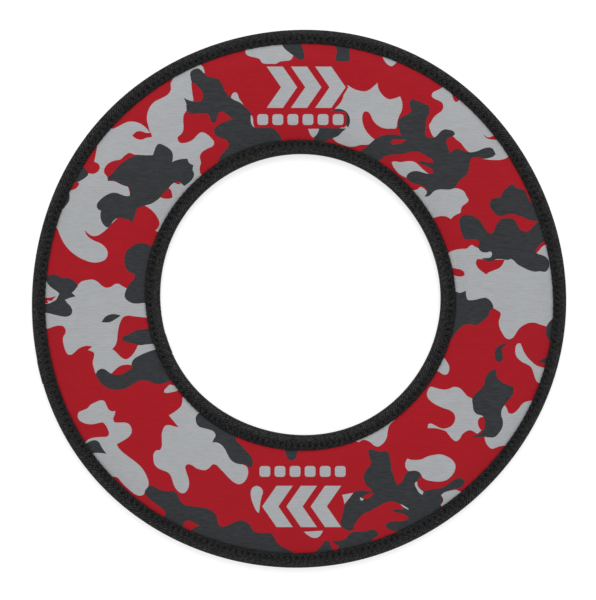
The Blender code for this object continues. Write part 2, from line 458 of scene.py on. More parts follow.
# The camouflage print: closed smooth outlines in millimetres, each one printed over those before it.
UPPER_LEFT_PATCHES = (
    (LIGHT, (
        (-61, 133), (-55.5, 131.5), (-53, 129.3), (-52, 126), (-55, 126), (-59.3, 121), (-59.3, 118),
        (-58.8, 114), (-58.5, 110), (-61, 107), (-62.2, 105), (-63.7, 102.5), (-64, 99.5), (-63.8, 96),
        (-64.1, 93.7), (-65.2, 91.8), (-67, 90.3), (-67, 88.7), (-65.8, 87.1), (-63.5, 86.9),
        (-60.5, 87.7), (-58, 89.3), (-56, 91.5), (-53.8, 92.9), (-51, 92), (-48.5, 89.8), (-46.8, 87.3),
        (-47.4, 85.4), (-50.5, 83.8), (-53.7, 81.7), (-54.7, 79.3), (-54.2, 76), (-54.9, 73),
        (-54.6, 70.3), (-53.3, 68.5), (-55, 64), (-65, 53), (-72, 43), (-77, 37.5), (-79.7, 38.2),
        (-77.9, 40.2), (-77.3, 42.5), (-78.6, 45.8), (-81.3, 49.3), (-85.3, 52), (-95, 55), (-100, 46),
        (-103.8, 42), (-106, 39.6), (-109, 37), (-112, 35.3), (-114.8, 35.2), (-117, 36.6),
        (-118.8, 38.3), (-118.1, 36.3), (-116.5, 34.4), (-113.5, 32.5), (-110, 31), (-107.2, 28.6),
        (-106, 25.5), (-107, 22.5), (-110, 20.8), (-114, 20.4), (-119, 21.8), (-124, 24.5), (-128, 28),
        (-131, 32), (-133, 36), (-134.8, 39.8), (-141, 42), (-140, 52), (-135, 62), (-128, 70),
        (-119, 68.5), (-117, 70), (-114, 69.8), (-111.4, 71.2), (-110.4, 73.5), (-111.4, 75.4),
        (-113.7, 76.6), (-113.2, 79), (-112.6, 82.5), (-112.4, 86.5), (-116, 90), (-108, 98),
        (-104, 95.1), (-101, 96), (-98, 97.6), (-94.5, 98.9), (-91, 98.8), (-87.5, 97.5), (-84.5, 95.2),
        (-82.2, 92.2), (-83.3, 96), (-84.2, 100), (-83.8, 104), (-82.4, 107.3), (-80, 110), (-76, 112),
        (-72.6, 114), (-71, 116.5), (-71, 120.5), (-69.8, 123.5), (-72, 128),
    )),
    (RED, (
        (-92.4, 91), (-90, 93.2), (-87.5, 93.5), (-84.5, 92.6), (-81.8, 92.6), (-81.4, 90.2),
        (-84.5, 89.8), (-87, 88.8), (-90, 89.3),
    )),
    (RED, (
        (-88, 80.4), (-91, 80.5), (-94, 81.4), (-96.5, 80), (-99, 77.8), (-102, 77.2), (-105, 76),
        (-107.5, 73.5), (-108, 70.5), (-106.3, 68), (-106, 65.8), (-102, 65.5), (-98.5, 63.8),
        (-95.4, 63.3), (-94.4, 61.5), (-93.8, 59), (-91, 62), (-88, 72),
    )),
    (DARK, (
        (-127, 66.5), (-124.5, 64.8), (-121.5, 66), (-119, 67.5), (-117, 69.5), (-118, 71.8),
        (-119.7, 73.5), (-122, 76), (-127, 72),
    )),
    (RED, (
        (-131, 62), (-127.3, 60.8), (-125, 61.2), (-122.8, 62.8), (-122, 64.6), (-123.5, 65.2),
        (-126, 65.3), (-129, 66),
    )),
    (DARK, (
        (-134, 50), (-131.3, 50.3), (-129.3, 52.5), (-127.7, 55), (-127.5, 57.8), (-128.2, 60.3),
        (-132, 63), (-137, 54),
    )),
    (RED, (
        (-76.7, 56.7), (-75, 59.5), (-73.2, 61.8), (-71.3, 61.3), (-70.3, 58.8), (-70, 56.6), (-72, 56),
        (-75, 56.1),
    )),
    (DARK, (
        (-77.5, 86.5), (-75, 85.8), (-72, 84), (-70.2, 82), (-69.7, 79), (-70.1, 76.3), (-68.5, 77.1),
        (-65, 78), (-61.6, 78.2), (-60.8, 76), (-58.3, 74.6), (-58.8, 72.3), (-58, 69.5), (-59, 67),
        (-60.5, 65.3), (-63.5, 63.1), (-65, 64.4), (-66.8, 65.4), (-69, 64.8), (-71, 63.3), (-72.3, 61.5),
        (-74.8, 59.2), (-76.6, 56.8), (-79, 54.8), (-82, 53), (-85.3, 52.1), (-89.7, 50.2), (-90.7, 47),
        (-92.5, 42.4), (-94, 44), (-97, 44.8), (-100.3, 45.2), (-103, 43.5), (-104.2, 41.5),
        (-105.9, 39.9), (-107.6, 40.7), (-109.3, 43), (-110.1, 46), (-109.8, 49.3), (-111.4, 50),
        (-112.1, 52.5), (-110.5, 55), (-107.5, 57.5), (-104, 59.1), (-101, 59.1), (-98, 58),
        (-95.8, 57.4), (-93.9, 57.5), (-93.6, 60), (-94.5, 62.4), (-97, 63.2), (-99.7, 64.6),
        (-102.7, 65.9), (-106, 65.8), (-105.8, 68), (-104.2, 69.2), (-101.5, 72.5), (-98.5, 75.5),
        (-95, 77.9), (-91, 79.8), (-88, 80.2), (-84, 80.1), (-80.8, 80.2), (-80, 82.8), (-79, 85.2),
    )),
    (RED, (
        (-69, 64.9), (-67.5, 65.4), (-66, 65.2), (-65.5, 64.3), (-67, 64),
    )),
    (DARK, (
        (-60.1, 126.5), (-58.5, 128.1), (-55.8, 128.7), (-53.8, 127.3), (-51, 124.3), (-47.5, 123.4),
        (-44.5, 122.4), (-42.5, 120), (-41.2, 116.8), (-39.5, 114), (-37.8, 112.6), (-35.5, 111),
        (-32.2, 109.5), (-30, 107.3), (-28, 105.6), (-26.3, 103.5), (-26, 100.5), (-25.7, 97.5),
        (-24.5, 95.7), (-21, 95.3), (-17, 95.4), (-13.5, 94.9), (-11.5, 93), (-9.9, 91), (-9, 87),
        (-18, 83), (-32, 78), (-43, 71), (-45, 74), (-43.3, 79.5), (-40.8, 82.8), (-38.8, 85),
        (-38.7, 87), (-40.2, 88.8), (-43, 89.7), (-45.5, 91), (-46.8, 93), (-46.2, 95.4), (-43.8, 97.3),
        (-40.2, 99.1), (-36.5, 100.2), (-39.3, 102.7), (-42.2, 104.3), (-44.2, 103.8), (-45, 101.5),
        (-46, 98.3), (-48.3, 98.4), (-49, 100.8), (-50, 102.9), (-52.5, 103.5), (-56, 103.5),
        (-59.3, 103.1), (-61.5, 104.2), (-62.2, 106.2), (-62.3, 109), (-63.8, 112.2), (-61, 110.8),
        (-58, 110.1), (-55, 110), (-53.3, 111.5), (-52.8, 114), (-54.5, 117), (-57, 119.7), (-59.2, 121),
        (-59.9, 123.5),
    )),
    (LIGHT, (
        (-37.4, 112.2), (-36.5, 114.5), (-35, 115.2), (-33.8, 114.5), (-33, 112), (-31.5, 109.8),
        (-30.5, 108.2), (-33, 109.8), (-35.8, 111),
    )),
    (LIGHT, (
        (-26.3, 102.7), (-26.4, 99.5), (-25.7, 96.9), (-24.3, 95.5), (-25, 98), (-25.3, 101.3),
    )),
)
TOP_PATCHES = (
    (LIGHT, (
        (-31, 143), (-29.4, 139.5), (-29.2, 137), (-27.5, 135.6), (-24, 134.7), (-21.5, 133.7),
        (-19.8, 131.5), (-17.3, 130.9), (-14.3, 130.2), (-12, 131.2), (-10, 132.3), (-7, 132.7),
        (-4.4, 133.1), (-2.6, 136.4), (-5, 143), (-10, 147), (-22, 146),
    )),
    (DARK, (
        (-12, 146), (-9.2, 142.5), (-8, 140.3), (-6, 138.3), (-3.5, 136.4), (-1.5, 134.8), (0.4, 133.5),
        (2.1, 133.2), (3.3, 134), (3.5, 136), (2.8, 139), (1.9, 141.5), (1.8, 146),
    )),
    (DARK, (
        (20.5, 145), (21, 141.3), (21.6, 138), (21, 135), (21, 132.8), (25, 132.4), (28.7, 132.7),
        (28.9, 136), (28.8, 138.5), (29.5, 143),
    )),
    (LIGHT, (
        (46, 139), (47.1, 135.5), (48.5, 132.5), (50, 130.8), (52, 129.9), (53.6, 130.8), (55, 132.3),
        (57, 134.5), (54, 139),
    )),
    (LIGHT, (
        (25.8, 120.1), (28, 118.9), (31, 117.1), (34, 116.1), (37.5, 115.8), (40, 116.8), (42, 118.5),
        (44.2, 120.4), (44.6, 117.8), (46, 115), (48.2, 112.6), (50.5, 111.4), (53, 111.6), (56.8, 112.9),
        (57.8, 110.3), (58.1, 107.3), (57.5, 104.5), (56.3, 102), (55.3, 99), (55, 96.5), (54.5, 95.2),
        (52, 95), (49, 95), (46, 95.8), (43.5, 97.5), (41.5, 100), (40.3, 102.7), (38.7, 104.4),
        (37, 104.4), (36, 103), (35.7, 100), (36.4, 96.7), (38, 93.5), (40.5, 90.6), (43.4, 88.4),
        (41.3, 86.8), (38.7, 86.1), (35, 86), (31.5, 85.2), (28.5, 85.1), (25, 86.2), (21.8, 87.5),
        (19.8, 89.2), (18, 90.5), (22, 93), (25, 98), (26, 104), (17.3, 105.1), (19.5, 105.5),
        (22, 107.5), (24, 110), (25.2, 113), (25.7, 117),
    )),
    (DARK, (
        (18.5, 104.7), (21, 105.9), (24.2, 105.7), (27, 104.2), (28.6, 101.5), (28.8, 98), (27.8, 95.5),
        (24, 100),
    )),
    (DARK, (
        (11.3, 95.5), (26.8, 95), (24.6, 93.2), (22.3, 91), (20, 90), (18, 89.2), (14, 88), (9, 88),
        (9.2, 90.6), (10.5, 92.5),
    )),
    (LIGHT, (
        (5.6, 94.9), (11.8, 94.9), (10.8, 92.4), (9.5, 90.9), (8.3, 90.2), (7, 91.5),
    )),
)
UPPER_RIGHT_PATCHES = (
    (LIGHT, (
        (73, 97), (73.6, 94), (75.7, 90.2), (80, 89), (86, 90.7), (88.2, 88.8), (90.6, 87), (92.5, 84.5),
        (94.5, 82.4), (99, 80), (103, 78.2), (105.5, 77.7), (109, 77.5), (113, 77.7), (116, 78.6),
        (119, 81), (122, 84), (108, 102), (96, 114), (86, 121), (82, 119.6), (80, 117.7), (77, 116.2),
        (75, 115), (74.5, 113), (76, 111.6), (78.5, 110.6), (80.3, 109.3), (80.9, 107), (80, 104.9),
        (77.5, 103), (75.4, 101), (74.1, 98.7),
    )),
    (RED, (
        (85, 118), (85.9, 114.2), (87.4, 110.4), (88.5, 110), (90, 111.2), (93, 113), (89, 118),
    )),
    (RED, (
        (103.3, 92.1), (104.5, 90.9), (106.5, 90.3), (109, 91.2), (110.6, 91.3), (114, 89), (111.5, 88.9),
        (108, 89), (105.3, 89.7), (103.8, 91),
    )),
    (LIGHT, (
        (52.2, 76.5), (54, 76.8), (57, 76.3), (61, 76.8), (64.5, 76.5), (67.3, 74.5), (69.5, 72.3),
        (73, 69.5), (66, 67), (60, 68), (57, 69.5), (54.5, 72), (52.8, 74.5),
    )),
    (LIGHT, (
        (60, 62), (64, 60.8), (66.5, 61.2), (68.2, 62.5), (70, 61.8), (72, 60), (75.5, 60.3), (78, 61),
        (84, 61), (87.5, 61.7), (90, 61.3), (92.3, 60), (93.7, 57.5), (94.9, 55), (93.5, 53.3),
        (91.5, 51.8), (90.7, 50), (90.4, 48.1), (88.5, 47.3), (86.5, 46), (85, 44.5), (83, 45.9),
        (80, 46.3), (77, 45.8), (74.5, 45.2), (70, 47), (63, 57),
    )),
    (DARK, (
        (62.1, 109.5), (63.5, 111.4), (66, 110.5), (70, 109), (72.8, 107.2), (73.3, 104.5), (72, 101.8),
        (71.3, 99), (71, 95), (70.9, 91.5), (72.5, 90.1), (75, 89.8), (76.8, 90.6), (79.5, 93.4),
        (81.5, 94.5), (84, 94.3), (86.5, 93.5), (87.4, 92), (86.3, 90.8), (83.3, 89.6), (82.5, 87.5),
        (83.3, 85), (84.4, 81.3), (86, 82.6), (88, 83.6), (90.5, 83.3), (93.5, 82), (96.5, 81.8),
        (100, 82.5), (103, 83.8), (106, 84.5), (108.2, 84.1), (109.3, 82.6), (110.1, 80.7), (108.5, 79.3),
        (106, 78.5), (103.5, 78.2), (100, 79.1), (97.2, 78.8), (96, 77.5), (95.5, 75.5), (95, 72),
        (93.5, 69), (91, 67), (89, 65), (87.5, 62.5), (85.5, 61.2), (81, 61.2), (77, 60.7), (75.3, 59.8),
        (74, 58.3), (72, 57.2), (70.4, 57.3), (71.5, 58.5), (71.7, 60.5), (70.3, 62.4), (68.5, 63.5),
        (66.5, 64.1), (63.8, 64.8), (61.5, 66.5), (60.5, 68.3), (61.5, 70), (63.5, 71.1), (66.5, 71.3),
        (69.5, 70.5), (72.5, 69.8), (75.2, 70.2), (75.2, 71.5), (73.5, 73), (71, 74.3), (68.2, 75.4),
        (67, 76.3), (68.7, 76.9), (71, 76.3), (75.3, 75.8), (74.7, 77.5), (72, 79.5), (69, 81.2),
        (65.5, 82.2), (62, 81.8), (57.5, 80.8), (52.5, 80.5), (48.5, 79.6), (45, 77), (40, 77), (34, 82),
        (38.3, 85), (41, 87.5), (43.7, 89.6), (46.8, 91), (50.5, 91.7), (54.5, 91.5), (57.4, 90.9),
        (56.7, 93), (55.9, 95.5), (55.5, 98), (56.4, 100.4), (58.5, 101.8), (61, 103), (62.9, 104.7),
        (62.5, 107),
    )),
    (RED, (
        (51.6, 87.3), (53, 88.8), (56, 89.1), (60.2, 88.8), (58, 87), (55, 86.4), (52.5, 86.3),
    )),
    (DARK, (
        (119.3, 64.4), (117.7, 63.3), (116.5, 62), (115, 61), (113.8, 59), (112.5, 56.7), (110, 56.3),
        (107.8, 55.5), (106.7, 53), (107.3, 50.5), (109, 48.3), (111, 46.7), (113.5, 46.3), (117.3, 47.4),
        (121.3, 47), (124.7, 46), (127.7, 44.5), (131, 43.7), (134, 43.2), (139, 42), (139, 50),
        (132.6, 51.7), (130, 54.2), (128, 57), (126.6, 60.4), (124.5, 61.3), (121.5, 62.2),
    )),
)
RIGHT_PATCHES = (
    (LIGHT, (
        (80, 22), (84.5, 26.2), (88, 27.5), (91, 28), (94, 28.2), (95.5, 29.5), (96.8, 30.2),
        (98.3, 29.3), (101, 28.2), (110, 26), (125, 27), (132.7, 25.7), (134.5, 27.3), (136.3, 29.3),
        (138.2, 30.3), (143, 31), (148, 20), (148, -8), (142.3, -10.6), (139.5, -14), (138.7, -15.2),
        (136, -14.5), (131.5, -13.1), (128.3, -13.3), (125.5, -14.6), (123, -16.6), (121, -19.6),
        (119.5, -21.5), (117.5, -22.3), (115.5, -21.5), (113.8, -19), (112.3, -16), (111.8, -12.7),
        (112.7, -7.6), (111, -6.3), (108.7, -5.1), (100, -4), (92, -2), (82, 0),
    )),
    (RED, (
        (99, 20.5), (99.8, 22.4), (101.5, 22.3), (108, 22), (115, 22), (114, 19.5), (112, 17.3),
        (109, 16), (106.5, 15), (104.8, 13.7), (103, 15), (101, 16.5), (99.5, 18.5),
    )),
    (RED, (
        (85, 17.7), (88.5, 17), (91, 16.3), (92.5, 15), (92.8, 13.3), (91, 12.6), (88.5, 12.8),
        (84, 14.5),
    )),
    (DARK, (
        (91, 46), (93, 46.8), (96, 46.5), (99, 45.5), (101.5, 43.5), (103, 41), (104.7, 38.3),
        (107.3, 36.6), (108.8, 37.5), (109.8, 40), (111.5, 43), (114, 44.7), (117, 45.2), (120, 44.5),
        (121.5, 42.5), (122.7, 40), (124.5, 38.3), (127, 37.5), (129.5, 38.7), (131.5, 41), (133.8, 42.9),
        (140, 42), (143, 33), (139.5, 32.7), (137, 32), (135, 30.5), (133.3, 28.7), (132.4, 26.8),
        (133.5, 25.3), (135.5, 24.7), (138, 23.7), (139.6, 22), (140.3, 19.5), (139.7, 17), (138, 15.3),
        (135, 15.5), (131.5, 15.3), (128, 16.3), (125, 17.8), (122.3, 19.3), (120.3, 21.3), (118.8, 22.3),
        (116.5, 21.8), (114, 22.2), (110, 22.2), (107.5, 21), (105, 21.3), (102.3, 22.8), (105, 22.9),
        (107.3, 23.4), (108, 25.5), (107.3, 26.8), (105, 26), (102.5, 26.3), (101, 27.5), (100.2, 29.3),
        (101, 31), (99.8, 33), (96.5, 33.2), (93.2, 33.2), (91.8, 35), (90.7, 38), (90, 41), (89.9, 43.8),
    )),
    (DARK, (
        (82, 4.3), (88.3, 4.1), (90, 3.5), (93.5, 4.7), (93.8, 1.5), (94.5, -0.3), (96.5, -0.6),
        (99, -0.3), (102, 0.5), (104.5, 0.7), (106.6, -0.4), (108, -2.3), (108.7, -4.8), (107, -6.3),
        (106, -9), (104, -11.2), (101.7, -13), (99.5, -14.4), (96, -14), (92.5, -14.5), (90, -16.3),
        (88, -18.5), (86.3, -21.3), (80, -24),
    )),
    (DARK, (
        (144, -10), (140.5, -12.4), (138.8, -15), (138.3, -18), (138.8, -21), (140.4, -23), (143, -26),
    )),
    (LIGHT, (
        (121, -28.3), (121.3, -26), (122.3, -24.8), (123.7, -24.7), (124.5, -26.2), (125.6, -29),
        (127.5, -32), (130, -34.7), (133, -37), (135.5, -37.9), (142, -39), (139, -48), (135.2, -47.1),
        (133.5, -46.2), (132, -43.5), (131, -40.5), (129.8, -37.9), (127.5, -36.3), (125, -35.1),
        (122.8, -33.4), (121.3, -31.2),
    )),
    (DARK, (
        (133.3, -34.9), (136, -33.8), (139.5, -32.5), (142, -35), (138.7, -36.2), (136, -35.4),
    )),
    (DARK, (
        (117.3, -24.5), (114.5, -24.8), (112, -26), (110, -28), (109.5, -31), (110, -33.6),
        (111.7, -35.1), (113.4, -34.5), (114.1, -32.3), (113.7, -30), (113.5, -27.7), (114.9, -26),
    )),
    (LIGHT, (
        (81.5, -33), (83, -35), (84.2, -37.5), (84.1, -40), (82.7, -42), (81, -42), (78.5, -40.5),
        (75, -39), (77, -34),
    )),
    (LIGHT, (
        (71.9, -53.6), (72.3, -51.3), (73.8, -49), (75.7, -49.2), (78.5, -50), (81.5, -50.4), (84, -50),
        (86, -49.1), (88.5, -49), (90.6, -50), (92.5, -52), (94.5, -54.2), (97, -55.4), (102, -60),
        (105, -66), (102, -73), (99.7, -75), (97.7, -73.7), (96, -73), (93.5, -73.7), (91.3, -75.5),
        (90, -77.8), (88, -79.1), (86, -78), (84, -75.7), (82.3, -73.6), (80, -72.7), (76.5, -71.9),
        (72.3, -71.9), (72.4, -70), (73.3, -69.3), (75.5, -69.9), (78, -71.3), (80.3, -72.1),
        (82.7, -71.9), (85.3, -70.7), (87, -68.5), (87.5, -65.9), (86.6, -63.5), (84.7, -62),
        (81.3, -60.8), (77.7, -59.3), (74.7, -57.5), (72.7, -55.5),
    )),
    (LIGHT, (
        (112.8, -62.5), (113.8, -60.2), (115.2, -59.2), (116.3, -61), (117.2, -63.3), (119, -63.9),
        (121, -63), (123, -61), (124.8, -58.7), (127, -57.3), (129.5, -56.8), (135, -56), (118, -86),
        (115.5, -82), (113, -82), (110.5, -82.8), (108, -83.4), (106, -82), (104.5, -79.7),
        (103.8, -76.8), (109, -74), (113, -70),
    )),
    (RED, (
        (100.1, -68.2), (101.2, -66.1), (103, -65.7), (104.5, -68), (104.5, -71), (103, -73.8),
        (101.5, -72.5), (100.4, -70.5),
    )),
    (DARK, (
        (109.9, -38.7), (107.5, -39.9), (105.5, -41.7), (104.2, -44.5), (103.8, -47), (102.3, -49.5),
        (100, -51.5), (98, -53.5), (97, -55.5), (97.3, -59), (97.8, -62), (99.5, -64), (102.6, -65),
        (103.7, -66.8), (104, -69.5), (103.5, -72.3), (102, -74.4), (99.5, -75.7), (96.5, -77.2),
        (99.5, -77), (103, -76.7), (109.5, -76.8), (112, -74.5), (113.8, -71.3), (114.1, -68),
        (113.2, -64.7), (113.3, -62), (114.5, -59.7), (116.5, -57), (118.5, -54.5), (120, -51.7),
        (119.8, -49), (117.5, -48), (114.5, -46.8), (112, -45), (110.6, -43), (110.5, -40.5),
    )),
)
LOWER_RIGHT_PATCHES = (
    (LIGHT, (
        (30, -78), (34, -79.8), (35.7, -78.7), (38, -78.7), (40.5, -80), (42.5, -81.7), (44.5, -82.2),
        (46.8, -80.9), (48.5, -79), (49.6, -76.5), (50, -73.5), (51, -70.5), (54, -67.5), (48, -68),
        (38, -72),
    )),
    (LIGHT, (
        (60.9, -88.8), (62.5, -89.4), (65, -89.6), (68.5, -89.3), (72, -87.7), (75.5, -86.8),
        (79.5, -86.5), (83, -87.7), (86, -89.7), (87.6, -92.6), (87.2, -95.6), (85.3, -98.6),
        (82.5, -100.8), (79, -101.6), (75, -101.4), (71.5, -100.7), (69.5, -99.5), (68.3, -97.3),
        (66.3, -95.8), (64, -95.5), (61.5, -95.7), (60, -94), (59.7, -91.3),
    )),
    (DARK, (
        (39.4, -83.8), (42, -84), (45.5, -85), (48.7, -84.7), (50.7, -86.3), (51.3, -89), (51.7, -92),
        (52, -95.5), (53.3, -98.5), (54, -101.5), (55.1, -103.3), (57, -102.6), (58.4, -100.8),
        (59.3, -98.5), (60.7, -96.6), (63.3, -95.8), (66, -95.7), (68, -97), (68.2, -99), (66.6, -100.7),
        (66.2, -103), (67.8, -105), (70, -106.6), (75, -105.8), (79, -105.4), (82, -104.2),
        (84.5, -102.3), (87, -100.5), (89.5, -99.7), (91.7, -100.3), (93, -102.2), (92, -104),
        (89, -105.6), (84, -106.8), (81, -108), (79.8, -109.4), (80.7, -111.3), (80.7, -113),
        (79.5, -115), (82, -120), (72, -126), (60, -131), (56, -129.4), (52.5, -129.3), (50.2, -128),
        (48.6, -126.6), (49.7, -124.9), (52.3, -124.1), (56.5, -123.7), (60.3, -123.3), (61.7, -122.1),
        (60, -120.5), (57.5, -119.3), (55, -118.9), (52.5, -118.3), (52.7, -117.2), (55, -117),
        (58.8, -117.4), (57.8, -115.2), (55.5, -113.4), (52.7, -112.7), (49.7, -113), (46.3, -114.5),
        (43, -116.4), (40, -118), (36, -120), (33.2, -123), (31.2, -126.2), (30.5, -128.4),
        (28.8, -129.1), (26.5, -128.5), (24.7, -127), (23.5, -124.5), (24.4, -122), (25, -118.5),
        (26, -115), (28, -112), (30, -109), (32, -107.1), (35.5, -106.5), (38.5, -107), (41.3, -107.2),
        (41, -106.3), (38.5, -104), (37, -101.5), (36.5, -99), (37.5, -96), (39.7, -93.3), (40.7, -91),
        (39.7, -88), (39.1, -85.5),
    )),
    (RED, (
        (42, -107.6), (39.5, -108.3), (37, -109.3), (35.9, -110.5), (37.5, -111.3), (40, -110.5),
        (41.4, -109.3),
    )),
    (LIGHT, (
        (34.6, -110.3), (36.7, -111.4), (35.6, -112.4), (34.6, -111.7),
    )),
    (LIGHT, (
        (65.3, -102), (66.4, -101.7), (66.5, -103.7), (68, -105.8), (69.9, -107.3), (69.2, -109),
        (67.5, -107.9), (66, -105.5), (65, -103.3),
    )),
    (LIGHT, (
        (56.8, -114), (59.3, -115.3), (61.6, -116.8), (61.4, -117.3), (58.9, -116.1),
    )),
    (LIGHT, (
        (79.7, -109.3), (81, -108), (84, -107), (88, -106.4), (90, -107.2), (94, -109), (88, -117),
        (81, -116.5), (79.6, -114.6), (80.9, -113), (80.8, -111),
    )),
    (DARK, (
        (18.8, -134.9), (23, -134.7), (26.5, -133.5), (28.3, -131.3), (30, -130), (34, -129.5),
        (38, -129.3), (41, -128.5), (43.3, -129), (44.9, -130.6), (43.5, -132.7), (41.5, -134.4),
        (40.5, -140), (30, -144), (8, -146), (9.6, -141), (11.5, -139.2), (13.3, -137.2), (14.8, -135),
        (17.2, -135), (18, -137), (19.3, -139.7), (20.8, -141), (22.5, -139.3), (22.4, -137.7),
        (20.7, -136.4),
    )),
)
BOTTOM_PATCHES = (
    (LIGHT, (
        (24.5, -109), (27.5, -108.5), (30.8, -107.9), (29, -110.3), (27.3, -112.3), (25.8, -114.1),
        (25.3, -111.5),
    )),
    (LIGHT, (
        (3.2, -129.6), (13.8, -129), (12.6, -131.4), (10.9, -132.8), (9, -133.1), (6.8, -132.4),
        (4.8, -131),
    )),
    (LIGHT, (
        (-26.4, -108.5), (-26, -106), (-24.5, -104.4), (-22.5, -104.1), (-20.5, -105.3), (-19.6, -107.3),
        (-20.3, -110), (-21, -113), (-21.3, -116), (-21.9, -119.2), (-23.2, -118), (-24.5, -115.5),
        (-25.8, -112),
    )),
    (DARK, (
        (-9, -82), (-7.3, -85), (-6.5, -87.5), (-4.8, -89.7), (-3, -90), (-1.3, -88.5), (-0.5, -86),
        (1, -82),
    )),
)
LOWER_LEFT_PATCHES = (
    (LIGHT, (
        (-58, -52), (-64.4, -55), (-64.6, -57), (-65.2, -59.5), (-67.2, -61.6), (-69.5, -63.3),
        (-72, -64.7), (-70.5, -66.6), (-68.5, -69), (-66.4, -71.4), (-69, -70.9), (-71.6, -70.2),
        (-73.7, -70.4), (-75, -72), (-75.9, -75), (-75.9, -79), (-76, -82.3), (-77, -84), (-79, -84.3),
        (-80.4, -86), (-80.6, -89), (-80, -92), (-78.2, -94), (-75.5, -95.3), (-72.6, -96.5),
        (-71, -98.3), (-70, -101), (-69, -104), (-67.3, -106.5), (-65, -108.1), (-63, -107.8),
        (-61.3, -105.5), (-60.7, -102), (-61.5, -98.5), (-62.5, -95.5), (-62.8, -93.2), (-61.5, -92),
        (-59, -92.6), (-57, -94), (-54.5, -95), (-51.5, -95.2), (-49.5, -94), (-47.4, -92),
        (-45.7, -92.3), (-43.5, -94.4), (-41, -97), (-38.5, -99.7), (-35.5, -102.2), (-33, -103.1),
        (-30.5, -102.2), (-28.5, -99.5), (-27.8, -96), (-28.5, -93.5), (-31, -92), (-36, -88), (-42, -78),
        (-47, -70), (-54, -60),
    )),
    (DARK, (
        (-50, -58), (-54.5, -63), (-56.3, -64.4), (-57.1, -66.3), (-56.8, -68.8), (-55.3, -71),
        (-52.5, -72), (-49.5, -72.8), (-47, -74), (-46, -76), (-46.8, -77.7), (-47.8, -79.8),
        (-45.3, -79.9), (-43, -81), (-40.9, -83.4), (-39.3, -86.5), (-37.5, -89.5), (-35, -91.3),
        (-32, -92), (-29.3, -92.2), (-27.3, -93.6), (-26, -93.7), (-25.2, -91), (-26, -88), (-28, -85.7),
        (-30, -83.3), (-32, -81.2), (-34, -79.5), (-34.7, -77), (-32, -73), (-42, -66),
    )),
    (LIGHT, (
        (-74.7, -51), (-73.3, -49.3), (-71.5, -47.8), (-69.5, -48.2), (-65, -49), (-67.8, -51.3),
        (-70.5, -51.9), (-73, -52.3), (-74.5, -52.1),
    )),
    (LIGHT, (
        (-122.9, -64.8), (-122.2, -63), (-120, -62), (-117.5, -60.9), (-115.5, -58.8), (-113, -57.5),
        (-110, -56.4), (-108, -56.8), (-106.8, -59), (-105.5, -61.5), (-103.8, -62.5), (-101.8, -62.3),
        (-102.2, -64.5), (-103, -66.5), (-102.3, -68.5), (-100, -68.8), (-96.5, -68.8), (-94.3, -69.6),
        (-93, -71.5), (-92.7, -74), (-94, -76.4), (-97, -78.6), (-101, -80.8), (-100.3, -82.4),
        (-98, -85), (-95, -87.4), (-91.5, -90), (-88.5, -92.5), (-86, -95.5), (-84.3, -98.8),
        (-83.3, -102), (-83.6, -104.5), (-85.2, -106.8), (-86.2, -109), (-88, -109.7), (-91, -108.9),
        (-93.5, -107), (-96.5, -104.5), (-99, -101.6), (-101, -99.5), (-105, -99), (-110, -96),
        (-120, -84), (-118.5, -79.7), (-117.3, -78.5), (-115, -77.5), (-112, -77), (-109, -76.8),
        (-106.3, -76.5), (-105.3, -75), (-106, -72.5), (-107.4, -70), (-108.7, -68.7), (-111, -69),
        (-114.5, -69.7), (-118, -69.5), (-121, -68.3), (-122.6, -66.7),
    )),
    (DARK, (
        (-121, -82), (-117, -79.8), (-115, -78.9), (-112.8, -78.7), (-111, -79.8), (-109.8, -82),
        (-108.3, -84.3), (-106.8, -86.2), (-109.5, -85.9), (-113.8, -86), (-118, -88),
    )),
    (DARK, (
        (-85.5, -107.7), (-84.5, -105.6), (-82.5, -104), (-79.5, -104.8), (-77, -106.2), (-73, -107),
        (-69, -107), (-67.3, -108.7), (-66.3, -110.7), (-65, -113), (-63, -114.6), (-60, -115.3),
        (-55.5, -115.7), (-51, -116.6), (-48, -118), (-46, -120), (-45, -122.5), (-44.4, -125.4),
        (-42.7, -126.7), (-40, -126.3), (-37, -125), (-34, -123.7), (-31, -123.3), (-28.5, -124.3),
        (-26.5, -126.3), (-25.5, -128.5), (-23, -130), (-19.5, -130.3), (-15, -130.6), (-13.3, -133),
        (-11.5, -136), (-9, -138), (-6, -139.5), (-3.5, -141), (-1, -146), (-40, -143), (-70, -127),
        (-77, -123), (-74, -120), (-75.2, -117.3), (-78, -115.3), (-81.5, -112.5), (-84, -110.3),
    )),
    (RED, (
        (-64.1, -127), (-63.7, -124.9), (-62, -123.5), (-59.5, -123.8), (-57.5, -125), (-54.8, -126.3),
        (-57.5, -127.4), (-59.3, -128.8), (-60.6, -131), (-62.6, -128.6),
    )),
)
